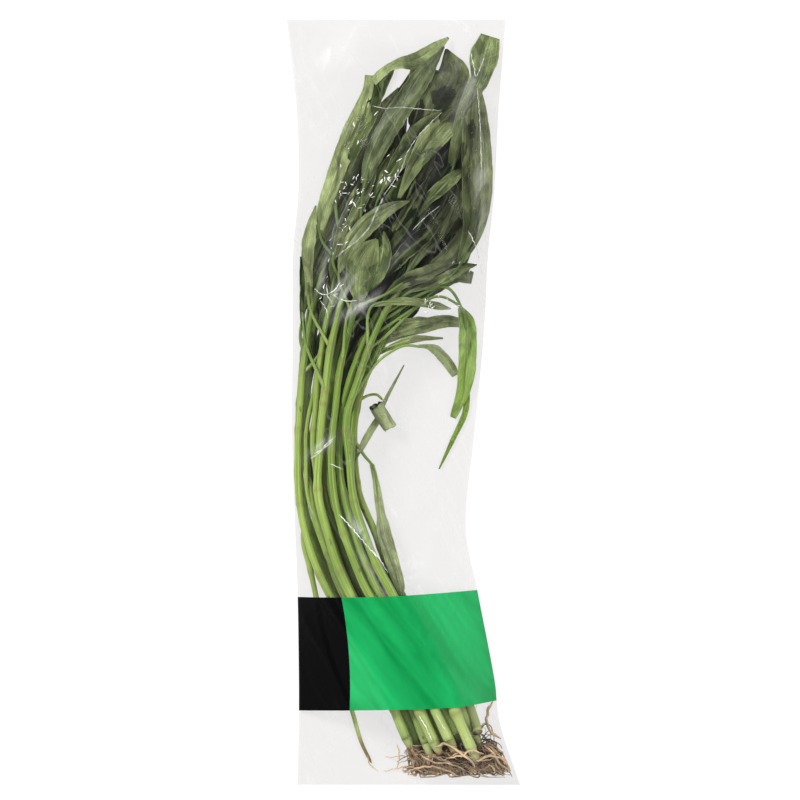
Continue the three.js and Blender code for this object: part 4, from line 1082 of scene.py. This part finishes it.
# One leaf: its stalk, and its blade as drawn closer above, flat, or folded into two narrow strips
def leafParts(leaf, own, isLaid, rng):
    look, foot = leafLook, sum(s["thick"] == petiole["thick"] for s in leaf)
    tint = rng.beta(0.7, 0.8)
    blade, tip = leaf[foot - 1 :], leaf[-1]
    if tip["y"] > look["tip"]["pastY"] and tip["x"] < look["tip"]["leftOfX"] and not isLaid:
        tip["y"] = look["tip"]["toY"]
    x, y = np.mean(rowsOf(blade, "x", "y"), axis=0)
    isAlone = (x > look["alone"]["fromX"] and y < look["alone"]["toY"]) or y < 0
    isOpen = isAlone or (x > look["open"]["fromX"] and y < look["open"]["toY"])
    fresh = rng.uniform(0.65, 1) if isAlone else rng.uniform(0, 0.45) ** 2
    grey, pale = (0, 0) if isAlone else (rng.choice([0, 0.1, 0.4, 0.9]), rng.choice([0, 0, 0.1, 0.35]))
    stalk = petiolePart(fineLine(rowsOf(leaf[: foot + 1], "x", "y", "z"), petioleLook["step"]), tint * 0.6)
    parts = [{**stalk, "open": isOpen}]
    # painted shade: the leaves in the shaded spot are painted darker
    tint *= 1 - shadedSpot["shade"] * nearSpot(x, y)
    # painted light: the leaves that lie open in the pile are painted lighter and paler
    if isOpen and not isAlone:
        tint, pale = mix(0.35, 0.75, tint), 0.28
    if own:
        return parts + ownBladeParts(blade, own, rng, isOpen)
    rows = rowsOf(blade, "x", "y", "z", "half", "upLeft", "upRight")
    if isAlone or max(s["half"] for s in blade) < look["narrow"] or rng.uniform() < look["flat"]:
        tint, calm = (max(tint, 0.7), 0.5) if isAlone else (tint, 1)
        return parts + [{**bladePart(rows, rng, tint, fresh, grey, calm, pale), "open": isOpen}]
    for side, up in ((-1, 0), (1, 0.5)):
        share = rng.uniform(*look["strip"])
        strip = np.array(rows)
        strip[:, :2] += np.array(rowsOf(blade, "sideX", "sideY")) * (side * share * (strip[:, 3:4] - 0.5))
        strip[:, 2:4] = np.column_stack([strip[:, 2] + up, strip[:, 3] * (1.06 - share)])
        parts.append(bladePart(strip, rng, clamp(tint + rng.uniform(-0.4, 0.4), 0, 1), fresh, grey, 1, pale))
    return parts


def leafyParts(plant):
    index = plant["index"]
    rng = np.random.default_rng(500 + index)
    size = rng.uniform(0.84, 1.02)
    parts = [stemPart(plant["stem"], rng, [leaf[0]["y"] for leaf in plant["leaves"]], size=size)]
    for shoot in plant["shoots"]:
        parts.append(stemPart(shoot, rng, paleness=0.1))
        values, low = parts[-1]["values"], rise(parts[-1]["points"][:, 1], -214, -228)
        values["under"] = np.maximum(values["under"], 1.8 * low)
    if index < len(thinStems):
        parts.append(stemPart(thinStemRoute(index), rng))
    starts = [y for at, y, *_ in laidLeaves if at == index] or [None] * len(plant["leaves"])
    for leaf, start in zip(plant["leaves"], starts):
        parts += leafParts(leaf, ownBlades.get((index, start)), start is not None, rng)
    if index == rolledLeaf["plant"]:
        parts += rolledParts(np.mean([s["z"] for s in plant["leaves"][0][4:6]]))
    return parts


rootLook = {
    "extra": 26,
    "bold": 0.3,  # the share of them that are thick and pale
    "steps": 34,
    "length": (24, 66),
    "radius": (0.24, 0.5),
    "boldRadius": (0.55, 0.85),
    "spread": 0.5,  # of their first headings
    "bend": 0.09,  # by how much a root turns at each step, all along it
    "shake": 0.12,  # and by chance
    "climbShake": 0.07,
    "fall": 0.012,
    "lowest": -247,
    "seamHeading": 1.35,  # a root so near the seam turns to this heading, by this share at each step
    "nearSeam": 6,
    "seamTurn": 0.16,
    "leftX": 11,  # and so does a root that goes left of here
    "leftTurn": 0.2,
    "nearSide": 8,  # so near the right fold it turns down along the fold
    "sideTurn": 0.3,
    "sideMargin": 3.4,
}
boldRoots = [  # the thick pale roots that lie on top: half width, then x, y along each
    (0.95, (59.2, -197), (54.8, -208), (57.9, -217), (64.5, -222)),
    (0.8, (20.2, -224), (27.5, -222), (36.8, -227.5), (45.3, -234.8), (46.7, -238.7)),
    (0.75, (47.3, -232.8), (57.2, -230.8), (64.5, -233.4), (70.5, -242)),
    (0.7, (50, -241.4), (57.9, -238.8), (60.5, -243.5)),
    (0.7, (5, -241.4), (17, -238.8), (29.5, -242), (36, -246)),
    (0.55, (-4, -242), (6.4, -240), (13, -243.4)),
    (0.75, (52.6, -224.2), (59.2, -229.5), (62.5, -236), (69.8, -242)),
    (0.4, (-24, -232.8), (-22, -238.7), (-16.7, -243.3)),
    (0.4, (-13.4, -243.3), (-6, -242), (-2.8, -236), (-4.2, -225.5)),
    (0.6, (30, -231), (38, -229), (44, -226), (52, -228)),
    (0.6, (12, -231), (20, -235), (31, -236), (40, -241)),
]


# A round skin: 0.9 * radius * (1 + short waves), green where it meets the stem
def crownPart(crown, rng):
    line = fineLine(rowsOf(crown, "x", "y", "z", "half"), 0.8)
    line = np.vstack([line, line[-1]])
    step = line[-2, :3] - line[-3, :3]
    line[-1, :3] += step / np.linalg.norm(step)  # 1 mm into the stem, so that no gap shows
    line[-1, 4] += 1
    share = line[:, 4] / line[-1, 4]
    half = line[:, 3] * (1 + waves(line[:, 4], rng, (5, 3), 0.05)) * 0.9
    return tubePart(line[:, :3], half, 14, tint=0.4, under=np.clip(0.5 - 1.2 * share, 0, 1),
                    fresh=np.clip(share * 1.8, 0, 1))


# A round skin that thins to 0.45 of its radius. Waves bend it sideways and up, more and more over 6 mm.
def mainRootPart(route, rng):
    line = fineLine(rowsOf(route, "x", "y", "z", "half"), 1.3)
    centre, s = line[:, :3], line[:, 4:]
    side, up = directions(centre)
    grow = np.clip(s / 6, 0, 1)
    centre += (side * waves(s, rng, (17, 9, 5), 1.1) + up * waves(s, rng, (11, 6), 0.35)) * grow
    centre[:, 1] = np.maximum(centre[:, 1], rootLook["lowest"])
    half = line[:, 3] * 0.85 * np.linspace(1, 0.45, len(s)) * (1 + waves(s[:, 0], rng, (9, 3), 0.12))
    return tubePart(centre, half, 6, tint=rng.uniform(0.3, 1), under=rng.choice([0, 0.1, 0.35]))


def strands(path):  # a line for each root, from (x, y, z) of all of them at each step, a little evened
    path = np.array(path).transpose(2, 0, 1)
    path[:, 1:-1] = (path[:, :-2] + 2 * path[:, 1:-1] + path[:, 2:]) / 4
    return path


# Thin roots that wander: each starts on the crown and turns a little at every step, up and sideways; near the
# seam it turns along the seam, mostly to the right, where the sleeve is widest
def fineRootParts(plant, rng):
    look, (end, middle, top) = rootLook, plant["crown"]
    count, steps, lowest = look["extra"], look["steps"], look["lowest"]
    along, turn = rng.uniform(0, 0.9, count), rng.uniform(0, 2 * math.pi, count)
    half = mix(end["half"], middle["half"], along) * 0.8
    x = mix(end["x"], middle["x"], along) + np.cos(turn) * half * end["sideX"]
    y = mix(end["y"], middle["y"], along) + np.cos(turn) * half * end["sideY"]
    z = mix(end["z"], middle["z"], along) + np.sin(turn) * half
    bold = rng.uniform(0, 1, count) < look["bold"]
    length = rng.uniform(*look["length"], count) * rng.choice([0.6, 1, 1], count)
    down = math.atan2(end["x"] - top["x"], end["y"] - top["y"])
    heading = down + np.cos(turn) * -0.5 + rng.normal(0, look["spread"], count)
    climb = np.sin(turn) * 0.35 + rng.normal(0, 0.2, count)
    bend, sway = rng.normal(0, look["bend"], count), rng.uniform(0, 6, count)
    radius = np.where(bold, rng.uniform(*look["boldRadius"], count), rng.uniform(*look["radius"], count))
    path = [(x, y, z)]
    for k in range(steps):
        heading = heading + bend + 0.25 * np.sin(sway + k * 0.5) + rng.normal(0, look["shake"], count)
        climb = climb * 0.9 + rng.normal(0, look["climbShake"], count) - look["fall"]
        advance = length / steps * np.where(y < lowest + 8, 0.6, 1)
        low = lowest + 7 * np.abs(np.sin(sway * 3)) + 1.6 * np.sin(x / 5 + sway)
        high = y + 251.2  # the film comes down towards the seam
        goesRight = (np.sin(heading) > -0.6) | (x < 4)
        level = np.where(goesRight, 1, -1) * look["seamHeading"]
        isLow = (y < low + look["nearSeam"]) & (np.cos(heading) < 0)
        heading = np.where(isLow, mix(heading, level, look["seamTurn"]), heading)
        isLeft = (x < look["leftX"]) & (np.sin(heading) < 0)
        inward = mix(heading % (2 * math.pi), look["seamHeading"], look["leftTurn"])
        heading = np.where(isLeft, inward, heading)
        x, y = x + np.sin(heading) * advance, y + np.cos(heading) * advance
        y = np.maximum(y, np.maximum(low, lowest))
        z = np.clip(z + climb * advance, 1.1, high)
        right = np.vectorize(sleeveRight)(y) - look["sideMargin"]
        isRight = (x > right - look["nearSide"]) & (np.sin(heading) > 0)
        heading = np.where(isRight, mix(heading, math.pi + 0.5 * np.sin(sway), look["sideTurn"]), heading)
        x = np.minimum(x, right - 6 * np.abs(np.sin(sway)) ** 2)
        path.append((x, y, z))
    parts = []
    for line, isBold, thick in zip(strands(path), bold, radius):
        tint = rng.uniform(0.7, 1) if isBold else rng.uniform(0, 0.9)
        dark = 0 if isBold else rng.choice([0, 0.2, 0.45, 0.7])
        parts.append(tubePart(line, thick * np.linspace(1, 0.35, steps + 1), 5, tint=tint, under=dark))
    return parts


matLook = {
    "count": 150,
    "steps": 22,
    "step": 1.25,
    "x": (0, 68),
    "y": (-246, -228),
    "radius": (0.35, 0.75),
    "curl": 0.2,
    "shake": 0.08,
    "turn": 0.5,  # at each step, near the edge of the mat
    "raise": 7,  # the edge's height over the seam, at most
    "inset": (3.6, 9),  # the edge's distance from the folds: the least, and what is added at most
    "lowest": -247.4,
    "highest": -222,
}


# The mat of roots along the seam: short strands that curl, higher up the nearer they are to the stems
def matParts(rng):
    look, count, steps = matLook, matLook["count"], matLook["steps"]
    x, y = rng.uniform(*look["x"], count), rng.uniform(*look["y"], count)
    z = rng.uniform(1.2, 2.5 + (y + 247) * 0.5)
    heading, curl = rng.uniform(0, 2 * math.pi, count), rng.normal(0, look["curl"], count)
    lift = look["raise"] * rng.uniform(0, 1, count) ** 1.5
    inset = look["inset"][0] + look["inset"][1] * rng.uniform(0, 1, count) ** 1.5
    turn = look["turn"] * np.sign(curl)
    path = [(x, y, z)]
    for _ in range(steps):
        heading = heading + curl + rng.normal(0, look["shake"], count)
        x, y = x + look["step"] * np.sin(heading), y + look["step"] * np.cos(heading)
        low = -247.2 + lift + 1.2 * np.sin(x / 5 + curl * 9)
        right = np.vectorize(sleeveRight)(y) - inset
        heading = heading + turn * ((y < low + 3) & (np.cos(heading) < 0))
        isRight, isLeft = (x > right - 3) & (np.sin(heading) > 0), (x < inset) & (np.sin(heading) < 0)
        heading = heading + turn * (isRight | isLeft)
        x = np.clip(x, inset - 6, right)
        y = np.clip(y, np.maximum(low, look["lowest"]), look["highest"])
        z = np.clip(z + rng.normal(0, 0.3, count), 1.1, 3 + (y + 247) * 0.5)
        path.append((x, y, z))
    taper = np.interp(np.arange(steps + 1), (0, 4, steps), (0.5, 1, 0.45))
    return [tubePart(line, rng.uniform(*look["radius"]) * taper, 5, tint=rng.uniform(0.2, 1),
                     under=rng.choice([0, 0, 0.2, 0.5])) for line in strands(path)]


def rootParts(plant):
    rng = np.random.default_rng(900 + plant["index"])
    parts = [crownPart(plant["crown"], rng)]
    parts += [mainRootPart(route, rng) for route in plant["roots"]]
    return parts + fineRootParts(plant, rng)


# The cell of a map that holds each place. A map's first cell is left of, below and under the whole bunch.
def cellOf(cells, size, *places):
    return tuple(np.clip(((place + corner) / size).astype(int), 0, count - 1)
                 for place, corner, count in zip(places, (85, 260, 20), cells.shape))


def heightMap(points):  # the highest point in each square millimetre, spread one cell every way
    tops = np.zeros((170, 520))
    np.maximum.at(tops, cellOf(tops, 1, points[:, 0], points[:, 1]), points[:, 2])
    wide = np.pad(tops, 1)
    return np.max([wide[a : a + 170, b : b + 520] for a in range(3) for b in range(3)], axis=0)


def blurred(field, reach):  # the mean over a square or cube of 2 * reach + 1 cells, taken twice
    span, wider = 2 * reach + 1, [(reach + 1, reach)] + [(0, 0)] * (field.ndim - 1)
    for axis in 2 * list(range(field.ndim)):
        total = np.cumsum(np.pad(np.moveaxis(field, axis, 0), wider, mode="edge"), axis=0)
        field = np.moveaxis((total[span:] - total[:-span]) / span, 0, axis)
    return field


# How full the space around each cell of 2 mm is. Below the floor it counts as empty for what faces down, and
# as a mirror image of the pile for what faces up.
def fullness(points):
    cells = np.zeros((85, 260, 38))
    cells[cellOf(cells, 2, *points.T)] = 1
    facingDown = blurred(cells, 3)
    cells[:, :, :10] = cells[:, :, 19:9:-1]
    return facingDown, blurred(cells, 3)


pileShadeLook = {
    "toLeaves": (0, 70),  # from this y to that the stems' settings give way to the leaves'
    "power": 1.2,
    "open": 0.15,  # the share of the shade that falls on what lies clear of the pile
    "besideFrom": 0.5,
    "besideSpan": 3,
    "beside": ((-20, 60), (0.3, 0.85)),  # the shade beside a higher edge, at two y
    "closed": (0.22, 0.52),  # how full the space around has to be, for no shade and for all of it
}


# Painted shade for each point in the pile: the further it lies below the mean of the tops around it, the
# darker it is painted, and less so where the space around it is open, as at the sides. Among the leaves the
# painted shade starts sooner than along the stems, what lies right beside the edge of a higher leaf is
# painted dark too, and the shaded spot adds its own painted shade. The pairs give the shade's start and span.
def paintShade(parts, most, overStems, overLeaves):
    look = pileShadeLook
    for part in parts:
        isOpen, (x, y, z) = part.get("open", False), part["points"].T
        start, span = (np.interp(y, look["toLeaves"], pair) for pair in zip(overStems, overLeaves))
        here = cellOf(shade, 1, x, y)
        deep = most * np.clip((shade[here] - z - start) / span, 0, 1) ** look["power"]
        deep *= look["open"] if isOpen else 1
        beside = np.clip((near[here] - z - look["besideFrom"]) / look["besideSpan"], 0, 1)
        closed = mix(*(field[cellOf(field, 2, x, y, z)] for field in full), part["up"] * 0.5 + 0.5)
        deep = np.maximum(deep, beside * np.interp(y, *look["beside"])) * rise(closed, *look["closed"])
        spot = 0 if isOpen else shadedSpot["deep"] * nearSpot(x, y)
        clear = (1 - part["values"].get("deep", 0)) * (1 - deep) * (1 - spot)
        part["values"]["deep"] = 1 - clear


# The pale roots: round skins as high as the mean of the tops below them over 9 steps
def boldRootParts(tops):
    rng = np.random.default_rng(61)
    parts = []
    for half, *route in boldRoots:
        x, y, s = fineLine(route, 1.2).T
        wobble = waves(s, rng, (11, 6), 0.7) * fade(s, 3)
        x, y = x + wobble, np.maximum(y - wobble, rootLook["lowest"])
        z = np.pad(tops[cellOf(tops, 1, x, y)], 4, mode="edge")
        z = np.convolve(z, np.ones(9) / 9, mode="valid") + half * 0.6
        thick = half * (1 + waves(s, rng, (8, 4), 0.18)) * fade(s, 6, 0.35)
        parts.append(tubePart(np.column_stack([x, y, np.maximum(z, 1.2)]), thick, 7, tint=1))
    return parts


# A stub of a stem beside the roots, as x, y, height over the tops and half width. It is a round skin whose
# last two rings turn inwards: the cut end looks up and is dark inside a pale rim.
cutStub = ((42.5, -196, -6, 2.9), (45.6, -205, -2, 3), (47.4, -211.4, 0.4, 3.3), (48.4, -215.4, 3.6, 3.5))


def stubPart(tops):
    route = np.array(cutStub)
    route[:, 2] += tops[cellOf(tops, 1, route[:, 0], route[:, 1])].max()
    line = fineLine(route, 1.5)
    line = np.vstack([line, line[-1:], line[-1:]])
    line[-2:, 3] *= (0.86, 0.8)
    line[-2:, :3] += (line[-3, :3] - line[-4, :3]) * ((0.02,), (-0.3,))
    isCut = np.arange(len(line)) >= len(line) - 2
    return tubePart(line[:, :3], line[:, 3], 16, tint=0.4, under=0.9 * isCut, fresh=0.9 * ~isCut)


leafyPieces = [leafyParts(plant) for plant in plants]
rootPieces = [rootParts(plant) for plant in plants]


def allPoints():
    return np.concatenate([part["points"] for piece in leafyPieces + rootPieces for part in piece])


plantTops = heightMap(allPoints())
rootPieces[-2] += matParts(np.random.default_rng(47))
rootPieces[-1] += boldRootParts(plantTops) + [stubPart(plantTops)]
tops, full = heightMap(allPoints()), fullness(allPoints())
shade, near = blurred(tops, 4), blurred(tops, 1)
for plant, leafy, rooty in zip(plants, leafyPieces, rootPieces):
    number = plant["number"]
    paintShade(leafy, 1, (2.5, 15), (1, 8.5))
    paintShade(rooty, 0.85, (1, 11), (1, 11))
    placePiece("leafyStem" + number, leafy, [stemSkin, bladeSkin], "leafy_stem_" + number)
    placePiece("roots" + number, rooty, [rootSkin], "roots_" + number)
print(f"made the plants, {len(allPoints())} points")


filmLook = {
    "across": 120,
    "along": 300,
    "lowY": -252.4,
    "highY": 252.4,
    "clear": 0.45,  # over the plants
    "fold": 1.4,
    "highest": 47.6,
    "back": 0.12,
    "seam": {"length": 3.2, "front": 0.9, "back": 0.45},
    "tightenings": 1400,
    "acrossWeight": 0.72,  # what the neighbours across the sleeve count against those along it
    "mouthFrom": 200,
    "mouth": 7,
    "lean": 0.55,  # the creases of the free film run from upper left to lower right
    "folds": ((17, 110, 0.9), (10, 70, 0.5), (26, 60, 0.6)),  # width, length and size of three sets of them
    "sharpness": 0.13,
}


# A stretched skin: each point takes the mean of its neighbours, but never goes below the least height
def tighten(z, least, fixed, rounds, weight):
    for _ in range(rounds):
        padded = np.pad(z, 1, mode="edge")
        across = (padded[:-2, 1:-1] + padded[2:, 1:-1]) / 2
        along = (padded[1:-1, :-2] + padded[1:-1, 2:]) / 2
        z = np.where(fixed, z, np.maximum(least, mix(along, across, weight)))
    return z


hazes = [  # painted sheen, milky patches where the film veils the leaves: x, y, half length, half width, heading from +Y to +X in degrees, strength
    (51.5, 140, 66, 6, -2, 0.32), (57, 122, 40, 4, -4, 0.3), (-42, 232, 18, 12, 40, 0.45),
    (44, 205, 30, 7, 20, 0.25), (30, 215, 26, 6, 30, 0.15), (24, 160, 40, 5, 25, 0.05),
    (-42, 70, 14, 5, 35, 0.8), (-30, 62, 18, 4, 60, 0.6), (-52, 88, 16, 3, 10, 0.4),
    (40, 62, 24, 4, 80, 0.3), (42, 42, 24, 10, 0, 0.12), (-53, -29, 11, 3.6, 55, 0.9),
    (-28, -84, 18, 3.5, -35, 0.45), (-20, -110, 24, 3, -30, 0.2), (-45, 110, 34, 4, 18, 0.15),
    (0, 100, 40, 5, 40, 0.06), (20, 84, 26, 6, 60, 0.1), (-5, 190, 30, 4, 40, 0.12),
    (5, -60, 70, 16, 30, 0.06), (20, -90, 60, 12, 24, 0.08), (-50, 200, 50, 16, 10, 0.06),
]
creases = [  # painted highlights, white lines where the film is creased: half width, strength, then x, y along the line
    (0.2, 0.4, (-20.6, 193), (-12, 191.2), (-2, 191.8), (11, 190.6), (24, 189.6)),
    (0.26, 0.3, (25, 188.6), (16, 180), (7.4, 170), (2, 161), (-1, 152), (-7, 142.4), (-13, 134)),
    (0.5, 0.22, (-13, 133), (-18, 123), (-22, 114), (-29, 106), (-38, 99), (-44, 94)),
    (0.3, 0.7, (-58, 74), (-52, 70), (-46, 72), (-41, 78)), (0.25, 0.7, (-50, 76), (-49, 69), (-46, 64)),
    (0.25, 0.6, (-46, 70), (-38, 66), (-30, 66)), (0.22, 0.6, (-54, 66), (-50, 60), (-49, 54)),
    (0.3, 0.5, (-61, -37), (-55, -33), (-50, -27), (-44, -22)),
    (0.28, 0.5, (-59, -34), (-52, -30), (-46, -25)),
    (0.25, 0.5, (-48, -40), (-43, -42), (-39, -44)),
    (0.32, 0.8, (-42, -73), (-36, -79), (-29, -87), (-22, -95), (-17, -101)),
    (0.25, 0.6, (-20, -96), (-14, -104), (-10, -111)),
    (0.28, 0.6, (44, 229), (46, 220), (47.6, 213), (50, 218), (53, 226)),
    (0.2, 0.4, (48, 206), (50, 180), (51, 150)), (0.25, 0.5, (42, 112), (48, 100), (52, 84)),
    (0.2, 0.4, (6, 112), (14, 120), (24, 128)),
    (0.34, 0.8, (10, -203), (14.6, -211), (18.6, -219.6)), (0.22, 0.6, (21, -202), (25, -209), (29, -214)),
]
sparkles = {  # painted glints: small bright folds, scattered along a few lines where the film lies hard on the leaves
    "count": 105,
    "half": (0.14, 0.55),
    "length": (0.6, 4.2),
    "scatter": 3.5,
    "turn": (0.5, 0.7),
    "near": (
        ((-42, 156), (-20, 190)), ((-40, 130), (-27, 150)), ((-54, 64), (-44, 78)), ((-38, 118), (-2, 168)),
        ((-50, 92), (-36, 104)), ((24, 78), (48, 96)), ((14, 60), (30, 70)), ((-41, 136), (-36, 142)),
        ((-28, 128), (-23, 140)), ((-17, 130), (-4, 156)), ((-11, 144), (-8, 149)), ((-40, 113), (-37, 119)),
    ),
}


# The painted sheen: strength * exp(-1.6 * (along^2 + across^2)), in half lengths and half widths of the
# strongest patch
def hazeAt(x, y):
    total = np.zeros_like(x)
    for atX, atY, length, width, heading, strength in hazes:
        sine, cosine = math.sin(math.radians(heading)), math.cos(math.radians(heading))
        along = ((x - atX) * sine + (y - atY) * cosine) / length
        across = ((x - atX) * cosine - (y - atY) * sine) / width
        total = np.maximum(total, strength * np.exp(-1.6 * (along**2 + across**2)))
    return total


# Painted highlights: round white skins pressed to half their height, a little over the film, along the
# creases and the sparkles
def glintParts(heightOf):
    look, rng, lines = sparkles, np.random.default_rng(31), list(creases)
    for _ in range(look["count"]):
        (x1, y1), (x2, y2) = look["near"][rng.integers(len(look["near"]))]
        t, length, turn = rng.uniform(), rng.uniform(*look["length"]), rng.normal(*look["turn"])
        x, y = (mix(a, b, t) + rng.normal(0, look["scatter"]) for a, b in ((x1, x2), (y1, y2)))
        aside, ahead = length * math.sin(turn), length * math.cos(turn)
        middle = (x + 0.5 * aside + rng.normal(0, 0.3), y + 0.5 * ahead)
        lines.append((rng.uniform(*look["half"]), 1, (x, y), middle, (x + aside, y + ahead)))
    parts = []
    for half, strength, *route in lines:
        x, y, s = fineLine(route, 0.8).T
        wobble = waves(s, rng, (9, 5, 3), 0.5) * fade(s, 4)
        x, y = x + wobble, y + 0.5 * wobble
        thick = half * fade(s, 3, 0.25) * (1 + waves(s, rng, (7, 3), 0.35))
        centre = np.column_stack([x, y, heightOf(x, y) + 0.12])
        parts.append(tubePart(centre, thick, 6, 2, 0.5, haze=strength))
    return parts


# The front is a skin stretched over the plants, with creases exp(-(noise / sharpness)^2) where it hangs free.
# The back lies on the floor. They meet in the folds at the sides, and lie close together in the seam.
def makeSleeve(tops):
    look, seam, rng = filmLook, filmLook["seam"], np.random.default_rng(77)
    ys = np.linspace(look["lowY"], look["highY"], look["along"] + 1)
    p = np.linspace(0, 1, look["across"] + 1)[:, None]
    left, right = np.vectorize(sleeveLeft)(ys), np.vectorize(sleeveRight)(ys)
    x, y = mix(left, right, p), ys + 0 * p
    middle, isSeam = np.clip(4 * p * (1 - p), 0, 1), y < look["lowY"] + seam["length"]
    mouth = rise(y, look["mouthFrom"], look["highY"]) * look["mouth"]
    below = tops[cellOf(tops, 1, x, y)]
    over = look["fold"] + mouth * middle + 1.2 * middle
    least = np.maximum(np.where(below > 0, below + look["clear"], 0), over)
    least = np.where(isSeam, seam["front"], np.minimum(least, look["highest"]))
    fixed = isSeam.copy()
    fixed[[0, -1]] = True
    z = least.copy()
    z[[0, -1]] = look["fold"]
    # start from a taut line over the highest points, so that the skin comes down onto them
    z = np.where(fixed, z, np.maximum(least, z.max() * fade(p, 1 / 3.2)))
    z = tighten(z, least, fixed, look["tightenings"], look["acrossWeight"])
    free = rise(z - least, 0.3, 3.3) * fade(p, 1 / 12)
    cosine, sine = math.cos(look["lean"]), math.sin(look["lean"])
    along, aside = y * cosine - x * sine, x * cosine + y * sine
    crease = 0
    for width, length, size in look["folds"]:
        noise = latticeNoise(aside / width + 40, along / length + 40, rng)
        crease = crease + size * np.exp(-((noise / look["sharpness"]) ** 2))
    z = np.minimum(z + crease * free * 0.8, look["highest"])
    z[[0, -1]] = look["fold"]
    rim = (1 - fade(p, 1 / 26)) * (look["fold"] - look["back"])
    low = look["back"] + 0.5 * np.clip(latticeNoise(x / 14 + 3, y / 30 + 3, rng), 0, 1) * middle + rim
    low = np.minimum(np.where(isSeam, seam["back"], low), z - 0.02)
    front, back = np.stack([x, y, z], axis=-1), np.stack([x, y, low], axis=-1)
    ring = np.concatenate([front[::-1], back[1:-1]])  # round the sleeve: front from right to left, then back
    count = len(ring)
    index = np.arange(count * len(ys)).reshape(count, -1)
    beside = np.roll(index, -1, axis=0)
    quads = np.stack([index[:, :-1], index[:, 1:], beside[:, 1:], beside[:, :-1]], axis=-1)
    faces = [quads[: look["across"]].reshape(-1, 4), quads[look["across"] :].reshape(-1, 4)]
    u, v = np.arange(count)[:, None] / count, np.linspace(0, 1, len(ys))
    # painted sheen on the front film only
    haze = hazeAt(ring[..., 0], ring[..., 1]) * (np.arange(count) <= look["across"])[:, None]

    def heightOf(atX, atY):  # the film's height at a place, from the nearest points of the grid
        j = (rise(atY, look["lowY"], look["highY"]) * look["along"]).round().astype(int)
        i = (rise(atX, left[j], right[j]) * look["across"]).round().astype(int)
        return z[i, j]

    parts = [makePart(ring, faces, (0, 1), (u, v), haze=haze)] + glintParts(heightOf)
    placePiece("filmSleeve", parts, [frontFilm, backFilm, glintPaint], "sleeve")


makeSleeve(tops)
print("stretched the film over the bunch")

floorLook = {"size": 3.0, "z": -0.0006, "grey": (0.15, 0.15, 0.15), "glow": 0.88}


def floorSurface(tree):  # a white light table: it glows evenly, and takes only faint shadows
    glow = {"Emission Color": (1, 1, 1), "Emission Strength": floorLook["glow"]}
    return skin(tree, floorLook["grey"], 0.9, 0.1, **glow)


def makeFloor():
    mesh = bpy.data.meshes.new("floor")
    size, corners = floorLook["size"], ((-1, -1), (1, -1), (1, 1), (-1, 1))
    mesh.from_pydata([(x * size, y * size, floorLook["z"]) for x, y in corners], [], [(0, 1, 2, 3)])
    mesh.materials.append(makeMaterial("floorPaint", floorSurface))
    floor = addObject("floor", mesh)


lights = [  # name, place, size, power, whether it shows in glossy skins
    ("overhead", (0.1, 0.1, 2.2), (1.7, 1.7), 24, False),
    ("key", (-1.15, 0.85, 1.35), (0.5, 0.5), 44, False),
    ("fill", (1.3, -0.5, 1.5), (0.8, 0.8), 20, False),
    ("sheenLeft", (-1.1, 1.0, 1.5), (0.5, 0.2), 1.4, True),
    ("sheenRight", (1.3, 0.3, 1.2), (0.16, 1.0), 1.5, True),
]
worldGlow = 0.16


def makeLights():
    for name, place, size, power, shows in lights:
        data = bpy.data.lights.new(name, "AREA")
        data.shape, data.energy = "RECTANGLE", power
        data.size, data.size_y = size
        light = addObject(name, data)
        light.location = place
        light.rotation_euler = (-Vector(place)).to_track_quat("-Z", "Y").to_euler()
        light.visible_glossy = shows
    world = bpy.data.worlds.new("studio")
    world.use_nodes = True
    background = world.node_tree.nodes["Background"]
    background.inputs[0].default_value = (1, 1, 1, 1)
    background.inputs[1].default_value = worldGlow
    bpy.context.scene.world = world


camera = {"height": 2.6, "across": 0.528, "centre": (-0.0022, 0.0015), "sensor": 36}


def makeCamera():
    data = bpy.data.cameras.new("camera")
    data.sensor_fit, data.sensor_width = "AUTO", camera["sensor"]
    data.lens = camera["sensor"] * camera["height"] / camera["across"]
    data.clip_end = 20
    made = addObject("camera", data)
    made.location = (*camera["centre"], camera["height"])
    bpy.context.scene.camera = made
    bpy.context.scene.view_settings.view_transform = "Standard"


makeFloor()
makeLights()
makeCamera()
print("set the floor, lights and camera")
